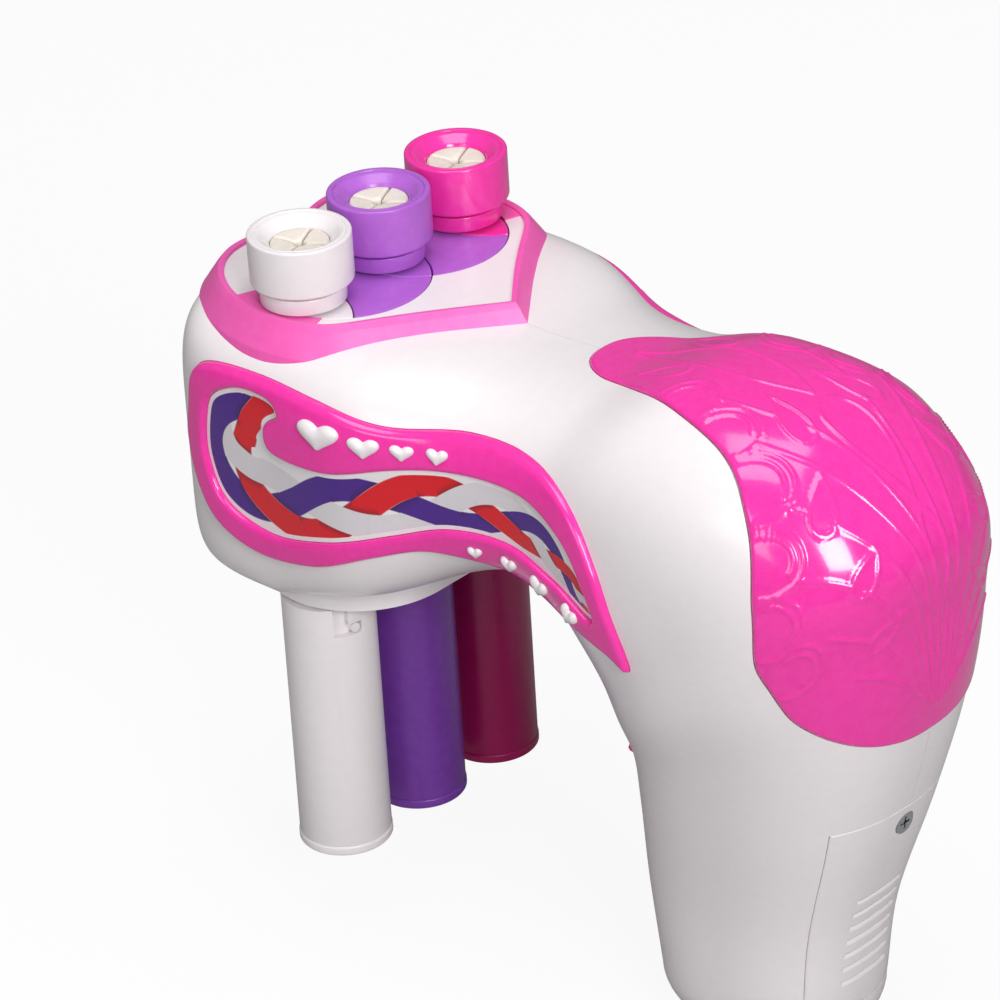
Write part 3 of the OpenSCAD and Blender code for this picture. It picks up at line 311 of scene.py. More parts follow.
# %% Body stations
DISC_Y, DISC_R, PLATE_Z, WALL = 13.05, 20.1, 162.6, 2.5
HEAD_X, HEAD_FRONT = -111.0, 36.0
HEAD_TOP_Z, HEAD_BOTTOM_Z = PLATE_Z - 3.1, 90.0
HEAD_W, DOME_W, GRIP_W = 2 * (DISC_Y + DISC_R + 14.35), 78.0, 43.0
NOSE_PLAN, NOSE_SIDE, BASE_ROUND = 3.2, 9, 14.0
STATIONS = np.array([
    [HEAD_X, HEAD_TOP_Z, HEAD_X, HEAD_BOTTOM_Z, HEAD_W / 2, 6.0],
    [HEAD_X + 28, HEAD_TOP_Z + 0.5, HEAD_X + 26, HEAD_BOTTOM_Z + 6.5, HEAD_W / 2, 4.6],
    [HEAD_X + 54, HEAD_TOP_Z - 0.5, HEAD_X + 46, HEAD_BOTTOM_Z + 14, HEAD_W / 2 - 7.5, 2.9],
    [HEAD_X + 80, HEAD_TOP_Z + 2, HEAD_X + 60, HEAD_BOTTOM_Z + 17, DOME_W / 2 - 2.5, 2.5],
    [-5, HEAD_TOP_Z + 8.8, -41, 103, DOME_W / 2 - 0.5, 2.4],
    [26.5, 164, -35, 96, DOME_W / 2 + 1.5, 2.45],
    [49, 143.8, -32, 88, DOME_W / 2, 2.45],
    [50.8, 121, -30, 80, DOME_W / 2 - 1.5, 2.3],
    [48, 96, -28, 71, DOME_W / 2 - 7, 2.4],
    [40, 68, -28, 58, GRIP_W / 2 + 6, 2.5],
    [30, 38, -28.5, 37, GRIP_W / 2 + 1.5, 2.5],
    [26, 14, -26, 14, GRIP_W / 2, 2.5]])
LAST = len(STATIONS) - 1

def along(rows, u):
    """Points u of the way along a smooth curve through rows."""
    rows = np.asarray(rows, float)
    u = np.atleast_1d(np.asarray(u, float))
    n = len(rows) - 1
    i = np.minimum(np.floor(u).astype(int), n - 1)
    f = (u - i)[:, None]
    b, c = rows[i], rows[i + 1]
    a = np.where((i > 0)[:, None], rows[np.maximum(i - 1, 0)], 2 * b - c)
    d = np.where((i + 2 <= n)[:, None], rows[np.minimum(i + 2, n)], 2 * c - b)
    return 0.5 * (2 * b + (c - a) * f + (2 * a - 5 * b + 4 * c - d) * f ** 2
                  + (3 * b - a - 3 * c + d) * f ** 3)

def ring_rows(sections, grow, wide=1.0, tall=1.0, shift=0.0):
    """Sections as rows of centre x, centre z, half depth in x, half depth in z, half width, squareness."""
    s = np.atleast_2d(sections)
    hx, hz = (s[:, 0] - s[:, 2]) / 2, (s[:, 1] - s[:, 3]) / 2
    k = (1 + grow / np.hypot(hx, hz)) * tall
    return np.stack([(s[:, 0] + s[:, 2]) / 2 + shift, (s[:, 1] + s[:, 3]) / 2, hx * k, hz * k,
                     (s[:, 4] + grow) * wide, s[:, 5]], axis=1)

def nose_rows(q, grow):
    q = np.asarray(q, float)
    wide = (1 - q ** NOSE_PLAN) ** (1 / NOSE_PLAN)
    tall = (1 - q ** NOSE_SIDE) ** (1 / NOSE_SIDE)
    return np.vstack([ring_rows(STATIONS[0], grow, w, t, -(HEAD_FRONT + grow) * v)
                      for v, w, t in zip(q, wide, tall)])

def body_rows(grow, nose_steps, steps, base_steps):
    angles = np.radians(90 * np.arange(nose_steps) / nose_steps)
    rows = [nose_rows(np.cos(angles) ** (2 / NOSE_PLAN), grow)]
    rows.append(ring_rows(along(STATIONS, np.arange(LAST * steps + 1) / steps), grow))
    s = STATIONS[LAST]
    for f in np.radians(90 * np.arange(1, base_steps + 1) / base_steps):
        inset, drop = BASE_ROUND * (1 - math.cos(f)), (BASE_ROUND + min(grow, 0)) * math.sin(f)
        section = [s[0] - inset, s[1] - drop, s[2] + inset, s[3] - drop, s[4] - inset, s[5]]
        rows.append(ring_rows(section, grow))
    end = rows[-1][-1].copy()
    end[2:5] = 0
    return np.vstack(rows + [end[None]])

print("body rows", body_rows(0, 28, 10, 12).shape)

# %% [markdown]
# The loft itself is a Geometry Nodes tree. Its input is one point for each section, with the section's
# numbers as attributes. The tree makes a grid of sections by sides, looks up each grid point's section, and
# moves the point onto the superellipse. Merging by distance then closes the seam and both poles. A tree is
# a good choice because the outer skin, the inner skin and the solid that other pieces are cut with are
# the same rule with other numbers.

# %% Loft tree
SECTION_NUMBERS = ("centre_x", "centre_z", "depth_x", "depth_z", "half_width", "squareness")

def make_loft_tree():
    tree, inputs, output = new_geometry_tree("loft by sections", [
        ("Sides", "NodeSocketInt", 96), ("Sections", "NodeSocketInt", 10),
        ("Material", "NodeSocketMaterial", None)])
    columns = Num(tree, inputs.outputs["Sides"]) + 1
    grid = wire(tree, "GeometryNodeMeshGrid", {
        "Size X": 1.0, "Size Y": 1.0, "Vertices X": inputs.outputs["Sections"], "Vertices Y": columns})
    index = Num(tree, wire(tree, "GeometryNodeInputIndex").outputs[0])
    section = (index / columns + 0.0001).op("FLOOR")
    side = index - section * columns
    turn = side / Num(tree, inputs.outputs["Sides"]) * (2 * math.pi)
    numbers = {}
    for label in SECTION_NUMBERS:
        stored = wire(tree, "GeometryNodeInputNamedAttribute", {"Name": label}, data_type="FLOAT")
        looked = wire(tree, "GeometryNodeSampleIndex", {
            "Geometry": inputs.outputs["Geometry"], "Value": stored.outputs[0], "Index": section},
            data_type="FLOAT")
        numbers[label] = Num(tree, looked.outputs[0])
    n = numbers["squareness"]
    c, s = turn.cos(), turn.sin()
    reach = (c.abs().power(n) + s.abs().power(n)).power(-1 / n)
    position = wire(tree, "ShaderNodeCombineXYZ", {
        "X": numbers["centre_x"] + numbers["depth_x"] * c * reach,
        "Y": numbers["half_width"] * s * reach,
        "Z": numbers["centre_z"] + numbers["depth_z"] * c * reach})
    moved = wire(tree, "GeometryNodeSetPosition", {
        "Geometry": grid.outputs["Mesh"], "Position": position.outputs[0]})
    merged = wire(tree, "GeometryNodeMergeByDistance", {"Geometry": moved.outputs[0], "Distance": 1e-6})
    return end_tree(tree, inputs, output, merged.outputs[0])

LOFT = make_loft_tree()

def loft(rows, sides, name, material="white_shell"):
    """Closed solid through rows of section numbers, in millimetres in, metres out."""
    rows = np.asarray(rows, float)
    scaled = rows * np.array([MM, MM, MM, MM, MM, 1])
    mesh = bpy.data.meshes.new(name)
    mesh.from_pydata([(float(i), 0, 0) for i in range(len(rows))], [], [])
    for k, label in enumerate(SECTION_NUMBERS):
        point_values(mesh, label, scaled[:, k])
    obj = place_object(name, mesh)
    values = {"Sides": sides, "Sections": len(rows), "Material": MATERIALS[material]}
    made = apply_tree(obj, LOFT, values, name)
    face_outwards(made)
    return made

# %% [markdown]
# ## Mesh helpers
# `face_outwards` makes the normals agree, `cut` runs one boolean and keeps only its result, and
# `finish_piece` sets the material, smooth shading with sharp creases, the body that the piece rides on, the
# CAD nodes that it stands for, and its material slot.

# %% Mesh helpers
def face_outwards(obj):
    work = bmesh.new()
    work.from_mesh(obj.data)
    bmesh.ops.recalc_face_normals(work, faces=work.faces)
    volume = work.calc_volume(signed=True)
    if volume < 0:
        bmesh.ops.reverse_faces(work, faces=work.faces)
    work.to_mesh(obj.data)
    work.free()

def new_object(name, vertices, faces, scale=MM):
    mesh = bpy.data.meshes.new(name)
    mesh.from_pydata((np.asarray(vertices, float) * scale).tolist(), [], [list(map(int, f)) for f in faces])
    mesh.validate()
    obj = place_object(name, mesh)
    return obj

def closed_object(name, vertices, faces):
    made = new_object(name, vertices, faces)
    face_outwards(made)
    return made

def capped(n):
    """Faces of a bar with n corners at each end."""
    ends = [list(range(n))[::-1], list(range(n, 2 * n))]
    return ends + [(i, (i + 1) % n, n + (i + 1) % n, n + i) for i in range(n)]

def ringed(n, sides):
    """Faces of a section of n points, repeated at each side of a closed ring."""
    return [(i * n + j, (i + 1) % sides * n + j, (i + 1) % sides * n + (j + 1) % n, i * n + (j + 1) % n)
            for i in range(sides) for j in range(n)]

def cut(obj, tool, operation="DIFFERENCE"):
    """One boolean. The tool is used up."""
    modifier = obj.modifiers.new("cut", "BOOLEAN")
    modifier.object, modifier.operation, modifier.solver = tool, operation, "MANIFOLD"
    graph = bpy.context.evaluated_depsgraph_get()
    shaped = bpy.data.meshes.new_from_object(obj.evaluated_get(graph), depsgraph=graph)
    obj.modifiers.remove(modifier)
    obj.data = shaped
    bpy.data.objects.remove(tool)
    return obj

def copy_of(obj, name):
    return place_object(name, obj.data.copy())

def finish_piece(obj, name, body, material, stands_for=(), crease=32):
    obj.name = obj.data.name = name
    obj.data.materials.clear()
    obj.data.materials.append(MATERIALS[material])
    obj.data.shade_smooth()
    obj.data.set_sharp_from_angle(angle=math.radians(crease))
    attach(obj, body)
    if stands_for:
        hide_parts(*stands_for)
    return obj

def prism(outline, low, high, name="prism"):
    """Upright prism over an outline of (x, y) points in the body's frame."""
    vertices = [(x, y, low) for x, y in outline] + [(x, y, high) for x, y in outline]
    return closed_object(name, vertices, capped(len(outline)))

def circle(x, y, r, sides=96):
    t = np.radians(360 * np.arange(sides) / sides)
    return list(zip(x + r * np.cos(t), y + r * np.sin(t)))

def lathe(profile, x, y, name, sides=128):
    """Closed ring turned from a closed profile of (radius, height) points."""
    t = np.radians(360 * np.arange(sides) / sides)
    p = np.asarray(profile, float)
    vertices = np.stack([np.outer(np.cos(t), p[:, 0]) + x, np.outer(np.sin(t), p[:, 0]) + y,
                         np.tile(p[:, 1], (sides, 1))], axis=2).reshape(-1, 3)
    return closed_object(name, vertices, ringed(len(p), sides))

def rounded(profile, radii, steps=5):
    """Closed profile whose corner i is rounded with radii[i]."""
    p = np.asarray(profile, float)
    out = []
    for i in range(len(p)):
        a, b, c, r = p[i - 1], p[i], p[(i + 1) % len(p)], radii[i]
        if r <= 0:
            out.append(tuple(b))
            continue
        u, v = (a - b) / np.linalg.norm(a - b), (c - b) / np.linalg.norm(c - b)
        half = math.acos(max(-1, min(1, float(u @ v)))) / 2
        reach = min(r / math.tan(half), 0.48 * np.linalg.norm(a - b), 0.48 * np.linalg.norm(c - b))
        for k in range(steps + 1):
            f = k / steps
            out.append(tuple((1 - f) ** 2 * (b + u * reach) + 2 * f * (1 - f) * b + f ** 2 * (b + v * reach)))
    return out

# %% [markdown]
# ## Solids that the pieces are cut with
# The body's outer solid is used again and again: the bezel sits on it, the bottom plate ends at it, and
# the shells are made from it.

# %% Body solids
body_solid = loft(body_rows(0, 30, 12, 12), 240, "body_solid")
hollow_solid = loft(body_rows(-WALL, 16, 4, 6), 72, "hollow_solid")
print("body solid", len(body_solid.data.polygons), "faces; hollow", len(hollow_solid.data.polygons))

# %% [markdown]
# ## Curves and outlines
# The frame, the window in it and the hearts are drawn from the side, as closed curves in millimetres
# behind the middle holder and above the base. The heart-shaped rim is drawn from above. Each curve passes
# smoothly through a few points, so a handful of numbers gives an outline as fine as a piece needs.

# %% Outlines
FRAME_POINTS = [[-19.5, 139], [-17.5, 147.5], [-11, 151.5], [4.5, 152.5], [23, 151.5], [40, 149], [58, 150],
    [74.5, 149], [89, 144], [98, 132.5], [102.5, 121], [105.5, 108], [99.5, 110.5], [90, 113], [76, 115.5],
    [60.5, 117.5], [47.5, 119], [35, 115.5], [19.5, 109.5], [2, 107], [-12, 111.5], [-19, 121], [-21, 131]]
WINDOW_POINTS = [[-13, 138], [-10, 144.5], [-1.5, 148.5], [8, 148.5], [11, 145.5], [6.5, 141.5], [9, 135.5],
    [25, 135.5], [41.5, 139.5], [57, 141.5], [73, 141], [84.5, 137.5], [92, 130.5], [97, 118.5],
    [85.5, 122.5], [70, 126.5], [54.5, 126.5], [41, 122.5], [23.5, 117], [6, 113.5], [-8, 117.5],
    [-13.5, 127.5]]
HEART_MARKS = [[24.5, 145, 8.7], [36, 144.5, 6.2], [44.5, 144.5, 4.8], [52.5, 144.8, 4.5],
    [60, 122, 3.4], [69, 121.3, 4.2], [79, 119.5, 5.2], [89.5, 117, 5]]

def closed_curve(points, steps):
    n = len(points)
    return np.vstack([along([points[(i + k) % n] for k in (-1, 0, 1, 2)], 1 + np.arange(steps) / steps)
                      for i in range(n)])

def spaced(loop, step):
    """The same closed loop with points about step apart."""
    p = np.vstack([loop, loop[:1]])
    reach = np.concatenate([[0], np.cumsum(np.linalg.norm(np.diff(p, axis=0), axis=1))])
    t = np.linspace(0, reach[-1], max(8, int(round(reach[-1] / step))), endpoint=False)
    return np.stack([np.interp(t, reach, p[:, k]) for k in range(p.shape[1])], axis=1)

def on_flank(points):
    p = closed_curve(points, 16)
    return np.stack([p[:, 0] + HEAD_X, p[:, 1]], axis=1)

def outward(loop):
    """Unit normals of a closed loop, pointing out of it."""
    step = np.roll(loop, -1, 0) - np.roll(loop, 1, 0)
    area = np.sum(loop[:, 0] * np.roll(loop[:, 1], -1) - np.roll(loop[:, 0], -1) * loop[:, 1])
    n = np.stack([step[:, 1], -step[:, 0]], axis=1) * np.sign(area)
    return n / np.linalg.norm(n, axis=1)[:, None]

def edge_distance(points, loops):
    best = np.full(len(points), 1e9)
    for loop in loops:
        for a, b in zip(loop, np.roll(loop, -1, 0)):
            d = b - a
            t = np.clip(((points - a) @ d) / max(d @ d, 1e-12), 0, 1)
            best = np.minimum(best, np.linalg.norm(points - a - t[:, None] * d, axis=1))
    return best

def inside(points, loop):
    hit = np.zeros(len(points), bool)
    for a, b in zip(loop, np.roll(loop, -1, 0)):
        crosses = (a[1] > points[:, 1]) != (b[1] > points[:, 1])
        with np.errstate(divide="ignore", invalid="ignore"):
            at = a[0] + (points[:, 1] - a[1]) * (b[0] - a[0]) / (b[1] - a[1])
        hit ^= crosses & (points[:, 0] < at)
    return hit

HEART_TIP, HEART_SIDE, HEART_BAND, HEART_BLEND = 45.6, 45.6 * 1.366, 5.3, 24

def heart_r(degrees, grow):
    """Distance of the heart's outline from the middle holder. 0 degrees is the tip, 180 the notch."""
    t = np.abs((np.asarray(degrees, float) + 180) % 360 - 180)
    lobe = (DISC_Y + DISC_R + 9.35) * (1 - 0.22 * np.exp(-((180 - t) / 24) ** 2))
    r = np.radians(t)
    with np.errstate(divide="ignore"):
        side = 1 / (np.cos(r) / HEART_TIP + np.sin(r) / HEART_SIDE)
    side = np.where(t > 125, 1e6, np.abs(side))
    lobe = np.where(t < 40, 1e6, lobe)
    return (side ** -HEART_BLEND + lobe ** -HEART_BLEND) ** (-1 / HEART_BLEND) + grow

def heart_loop(grow, step=1.0):
    a = np.arange(0, 360, step)
    r = heart_r(a, grow)
    return np.stack([HEAD_X + r * np.cos(np.radians(a)), r * np.sin(np.radians(a))], axis=1)

frame_loop, window_loop = on_flank(FRAME_POINTS), on_flank(WINDOW_POINTS)
print("frame outline", len(frame_loop), "points; window", len(window_loop))

# %% [markdown]
# ## Sheets that follow the flank
# A prism cut out of a lofted skin gives a ragged edge. Instead, the outline's inside is filled with
# triangles in the flat side view, and every vertex is then pushed out sideways onto the body's surface,
# whose half width at any place is known from the loft's rule. The height over the surface depends on the
# distance from the outline, which rounds the edges over.

# %% Half width of the body
def half_width(x, z, grow):
    x, z, grow = np.broadcast_arrays(*(np.asarray(v, float) for v in (x, z, grow)))
    s = STATIONS[0]
    q = np.clip((HEAD_X - x) / (HEAD_FRONT + grow), 0, 1)
    tall = np.maximum(((s[1] - s[3]) / 2 + grow) * (1 - q ** NOSE_SIDE) ** (1 / NOSE_SIDE), 1e-6)
    k = np.clip(np.abs(z - (s[1] + s[3]) / 2) / tall, 0, 1)
    nose = (s[4] + grow) * (1 - q ** NOSE_PLAN) ** (1 / NOSE_PLAN) * (1 - k ** s[5]) ** (1 / s[5])
    low, high = np.zeros(x.shape), np.full(x.shape, float(LAST))
    for _ in range(32):
        mid = (low + high) / 2
        r = along(STATIONS, mid)
        dx, dz = x - (r[:, 0] + r[:, 2]) / 2, z - (r[:, 1] + r[:, 3]) / 2
        side = dx * (r[:, 1] - r[:, 3]) - dz * (r[:, 0] - r[:, 2])
        low, high = np.where(side > 0, mid, low), np.where(side > 0, high, mid)
    r = along(STATIONS, low)
    hx, hz = (r[:, 0] - r[:, 2]) / 2, (r[:, 1] - r[:, 3]) / 2
    length = np.hypot(hx, hz)
    dx, dz = x - (r[:, 0] + r[:, 2]) / 2, z - (r[:, 1] + r[:, 3]) / 2
    k = np.abs(dx * hx + dz * hz) / length / (length + grow)
    trunk = (r[:, 4] + grow) * (1 - np.clip(k, 0, 1) ** r[:, 5]) ** (1 / r[:, 5])
    return np.where(x < HEAD_X, nose, trunk)

def fill(outline, holes, rings, spacing):
    """Points, triangles and edge distances of the region inside outline and outside the holes."""
    loops = [outline] + holes
    def within(p):
        kept = inside(p, outline)
        for hole in holes:
            kept &= ~inside(p, hole)
        return kept

    points, edges = [], []
    for loop in loops:
        start = sum(len(p) for p in points)
        points.append(loop)
        edges += [(start + i, start + (i + 1) % len(loop)) for i in range(len(loop))]
    for depth in rings:
        for k, loop in enumerate(loops):
            moved = loop - outward(loop) * depth * (1 if k == 0 else -1)
            moved = moved[within(moved)]
            points.append(moved[np.abs(edge_distance(moved, loops) - depth) < 0.02 * depth + 0.003])
    lo, hi = outline.min(0), outline.max(0)
    xs, ys = np.arange(lo[0], hi[0], spacing), np.arange(lo[1], hi[1], spacing * 0.866)
    grid = np.array([(x + spacing / 2 * (j % 2), y) for j, y in enumerate(ys) for x in xs])
    grid = grid[within(grid)]
    points.append(grid[edge_distance(grid, loops) > (rings[-1] if rings else 0) + 0.45 * spacing])
    flat = np.vstack(points)
    found = delaunay_2d_cdt([Vector(p) for p in flat], edges, [], 0, 1e-5)
    flat = np.array([tuple(v) for v in found[0]])
    triangles = np.array(found[2])
    triangles = triangles[within(flat[triangles].mean(1))]
    return flat, triangles, edge_distance(flat, loops)

def two_sided(triangles, n):
    """Faces of a plate: n points above, the same n below, and a wall along every edge with one triangle."""
    count = {}
    for t in triangles:
        for a, b in ((t[0], t[1]), (t[1], t[2]), (t[2], t[0])):
            edge = min(a, b), max(a, b)
            count[edge] = count.get(edge, 0) + 1
    faces = [tuple(t) for t in triangles] + [tuple(t[::-1] + n) for t in triangles]
    return faces + [(a, b, b + n, a + n) for (a, b), uses in count.items() if uses == 1]

def flank_sheet(name, side, region, rise, seat):
    """Closed plate on one flank: rise(distance) above the surface, its underside at seat."""
    flat, triangles, depth = region
    n = len(flat)
    top = half_width(flat[:, 0], flat[:, 1], rise(depth))
    under = half_width(flat[:, 0], flat[:, 1], seat)
    vertices = np.vstack([np.stack([flat[:, 0], side * y, flat[:, 1]], axis=1) for y in (top, under)])
    return closed_object(name, vertices, two_sided(triangles, n))

def rounded_edge(height, radius):
    return lambda d: height - radius + np.sqrt(radius ** 2 - (radius - np.minimum(d, radius)) ** 2)

def edge_rings(radius, count):
    return [radius * (1 - math.cos(math.radians(90 * k / count))) for k in range(1, count + 1)]

# %% [markdown]
# ## The two body shells
# The white body is moulded as a left and a right half that are screwed together. Both are cut from one
# solid: the smooth loft, hollowed, with screw bosses, deck posts, the trigger's sleeve and the battery
# tray's ribs inside, and with seats for the trim, dome, rim, door and bottom plate. Booleans suit this,
# because they do what the mould does. The halves stand a tenth of a millimetre apart, which draws the
# parting line.

# %% Cutters for the shells
SEAT_GAP, PART_GAP = 0.15, 0.3
DOME_EDGE = [[10], [15], [22.5], [28.5], [35], [47.5], [62], [67], [61], [55], [52]]
DOME_U, DOME_ENDS = (2.5, 8.05), (0.5, 0.85)

def patch_rows(u0, u1, count, edges, ends=(0, 0)):
    """Stations and half angles of a patch of skin, closed by round ends of the given lengths."""
    f = np.arange(count + 1) / count
    u = u0 + (u1 - u0) * (1 - np.cos(math.pi * f)) / 2
    e = along(edges, (len(edges) - 1) * (u - u0) / (u1 - u0))[:, 0]
    for way, length in ((u - u0, ends[0]), (u1 - u, ends[1])):
        if length:
            e = e * np.sqrt(1 - np.clip(1 - way / length, 0, 0.9998) ** 2)
    return u, e

def surface_points(u, fraction, e, grow):
    """Points at stations u and at fraction (-1 to 1) of the half angle e, evenly spread across."""
    r = ring_rows(along(STATIONS, u), grow)
    n = r[:, 5]
    limit = np.radians(e)
    edge_y = np.sin(limit) ** (2 / n)
    edge_k = np.cos(limit) ** (2 / n)
    turn = np.arctan2(edge_y, edge_k) * fraction
    c, s = np.cos(turn), np.sin(turn)
    reach = (np.abs(c) ** n + np.abs(s) ** n) ** (-1 / n)
    x, z = r[:, 0] + r[:, 2] * c * reach, r[:, 1] + r[:, 3] * c * reach
    return np.stack([x, r[:, 4] * s * reach, z], axis=1)

def patch_solid(name, u, e, out, inward, columns):
    """Closed piece of skin between two depths."""
    f = np.linspace(-1, 1, columns + 1)
    rings = []
    for a, b in zip(u, e):
        ring = [surface_points(np.full(columns + 1, a), f, np.full(columns + 1, b), out)]
        ring.append(surface_points(np.full(columns + 1, a), f[::-1], np.full(columns + 1, b), inward))
        rings.append(np.vstack(ring))
    n = 2 * (columns + 1)
    faces = [list(range(n))[::-1], list(range((len(rings) - 1) * n, len(rings) * n))]
    faces += [(j * n + i, j * n + (i + 1) % n, (j + 1) * n + (i + 1) % n, (j + 1) * n + i)
              for j in range(len(rings) - 1) for i in range(n)]
    return closed_object(name, np.vstack(rings), faces)

def rod(start, end, r, name="rod", sides=32):
    """Cylinder between two points, in millimetres."""
    a, b = Vector(start), Vector(end)
    turn = (b - a).to_track_quat("Z", "Y").to_matrix()
    angles = np.radians(360 * np.arange(sides) / sides)
    ring = [turn @ Vector((r * math.cos(t), r * math.sin(t), 0)) for t in angles]
    vertices = [tuple(a + v) for v in ring] + [tuple(b + v) for v in ring]
    return closed_object(name, vertices, capped(sides))

def block(lo, hi, name="block", frame_matrix=None):
    vertices = [(x, y, z) for x in (lo[0], hi[0]) for y in (lo[1], hi[1]) for z in (lo[2], hi[2])]
    if frame_matrix is not None:
        vertices = [tuple(frame_matrix @ Vector(v)) for v in vertices]
    faces = [(0, 1, 3, 2), (4, 6, 7, 5), (0, 4, 5, 1), (2, 3, 7, 6), (0, 2, 6, 4), (1, 5, 7, 3)]
    return closed_object(name, vertices, faces)

def oval(r, sides=96):
    """Oval round both discs, seen from above."""
    t = np.radians(180 * np.arange(sides // 2 + 1) / (sides // 2))
    return [(HEAD_X + r * math.cos(a), DISC_Y + r * math.sin(a)) for a in t] + \
           [(HEAD_X - r * math.cos(a), -DISC_Y - r * math.sin(a)) for a in t]

def rounded_bar(x0, x1, grow, z=72.0, high=24.0, wide=15.0, corner=3.0):
    """Bar along X with the trigger's outline grown."""
    t = np.radians(np.arange(0, 91, 15))
    loop = []
    for cy, cz, base in ((1, 1, 0), (-1, 1, 90), (-1, -1, 180), (1, -1, 270)):
        for a in t + math.radians(base):
            loop.append((cy * (wide / 2 - corner) + (corner + grow) * math.cos(a),
                         z + cz * (high / 2 - corner) + (corner + grow) * math.sin(a)))
    n = len(loop)
    vertices = [(x0, *p) for p in loop] + [(x1, *p) for p in loop]
    faces = [list(range(n)), list(range(n, 2 * n))[::-1]]
    faces += [(i, n + i, n + (i + 1) % n, (i + 1) % n) for i in range(n)]
    return closed_object("bar", vertices, faces)

# %% [markdown]
# The inner features are joined first and trimmed to the half-depth loft, so that none of them reaches the
# outside. Each seat is then cut in turn.

# %% Shells
SCREW_XZ = [[HEAD_X - 27.5, 108], [HEAD_X + 47, 114], [-14, 87], [-19.5, 30], [22, 140]]
DECK_POSTS = [[HEAD_X - 21, 30.0], [-60.505 + 4, 24.0]]
HEAD_R, SCREW_R, BOSS_R, POST_R = 2.8, 1.3, 4.2, 3.6
DOOR_U, DOOR_EDGE = (8.85, 11), 40
CORE_ROOM = DISC_R + 1.4
LEAN = Matrix.Translation((4, 0, 15)) @ Matrix.Rotation(math.radians(9), 4, "Y")

def inner_features():
    parts = [rod((x, -47, z), (x, 47, z), BOSS_R) for x, z in SCREW_XZ]
    parts += [rod((x, s * y, HEAD_BOTTOM_Z - 5), (x, s * y, 123.5), POST_R)
              for x, y in DECK_POSTS for s in (-1, 1)]
    parts.append(rounded_bar(-35.5, -23.75, PART_GAP + 2))
    for z in (9, 30, 52):
        rib = block((-60, -39, z), (60, 39, z + 2))
        cut(rib, block((-8.9, -15.9, -2.35), (60, 15.9, 52.9), frame_matrix=LEAN))
        cut(rib, block((0, -3.5, 50), (60, 3.5, 63), frame_matrix=LEAN))
        parts.append(rib)
    whole, *others = parts
    for part in others:
        cut(whole, part, "UNION")
    return cut(whole, loft(body_rows(-0.7 * WALL, 12, 6, 6), 96, "half_depth"), "INTERSECT")

def make_shells():
    shell = copy_of(body_solid, "shell")
    cut(shell, hollow_solid)
    cut(shell, inner_features(), "UNION")
    cut(shell, prism(heart_loop(-2.5), PLATE_Z - 4.0, PLATE_Z + 20))
    cut(shell, prism(heart_loop(-8), HEAD_TOP_Z - 9, HEAD_TOP_Z + 11))
    cut(shell, prism(oval(CORE_ROOM), HEAD_BOTTOM_Z - 20, HEAD_BOTTOM_Z + 9))
    for side in (-1, 1):
        loop = spaced(frame_loop, 0.7)
        region = fill(loop + outward(loop) * SEAT_GAP, [], [], 2.0)
        cut(shell, flank_block(side, region, -1.2, 70.0))
    u, e = patch_rows(*DOME_U, 160, DOME_EDGE, DOME_ENDS)
    cut(shell, patch_solid("dome_seat", u, e + 0.5, 6, -1, 24))
    slack = SEAT_GAP / 30
    u, e = patch_rows(DOOR_U[0] - slack, DOOR_U[1] + slack, 60, [[DOOR_EDGE + 0.45]] * 2)
    cut(shell, patch_solid("door_seat", u, e, 4, -WALL - 4, 24))
    cut(shell, rounded_bar(-45.5, -20.6, PART_GAP))
    for x, z in SCREW_XZ:
        cut(shell, rod((x, -12, z), (x, 12, z), SCREW_R + SEAT_GAP))
        cut(shell, rod((x, 9, z), (x, 60, z), HEAD_R + SEAT_GAP))
    for x, y in DECK_POSTS:
        for s in (-1, 1):
            cut(shell, rod((x, s * y, 114.5), (x, s * y, 124), SCREW_R + SEAT_GAP, sides=20))
    return shell

def flank_block(side, region, seat, far):
    flat, triangles, _ = region
    made = flank_sheet("flank_block", side, region, lambda d: 0 * d + seat + 3, seat)
    co = np.array([v.co[:] for v in made.data.vertices])
    co[:len(flat), 1] = side * far * MM
    made.data.vertices.foreach_set("co", co.ravel())
    face_outwards(made)
    return made

shell = make_shells()
for side, name in ((-1, "left"), (1, "right")):
    half = copy_of(shell, name)
    near, far = sorted((side * 0.05, side * 100))
    cut(half, block((-200, near, -50), (100, far, 250)), "INTERSECT")
    finish_piece(half, name + "_shell", "body", "white_shell", [name + "_housing"], 30)
    print(half.name, len(half.data.polygons), "faces")
bpy.data.objects.remove(shell)

# %% [markdown]
# ## Printed plait
# The picture is a plain three-strand plait in red, indigo and pale grey. A strand of a plait swings from
# side to side once in a round, and goes over and under twice. So the print is a formula: a UV map gives
# each place on the plate its distance along the plait and across it, both in half widths of the plait, and
# the material works out which strand is on top there. Upper strands cast a soft dark edge on the coloured
# ones under them.

# %% Plait material
PLAIT_PATH = [[8, 149, 9], [-3, 143, 9.2], [-6.5, 133, 9.4], [0.5, 124.5, 9.4], [14.5, 123.5, 9.2],
              [31, 127.5, 8.8], [46, 131.5, 8], [62, 134.3, 7.1], [76, 133, 5.8], [87, 127.5, 4],
              [96, 119.5, 2]]
STRANDS = ((0.0, srgb(222, 12, 30)), (1 / 3, srgb(74, 26, 138)), (2 / 3, srgb(222, 217, 222)))

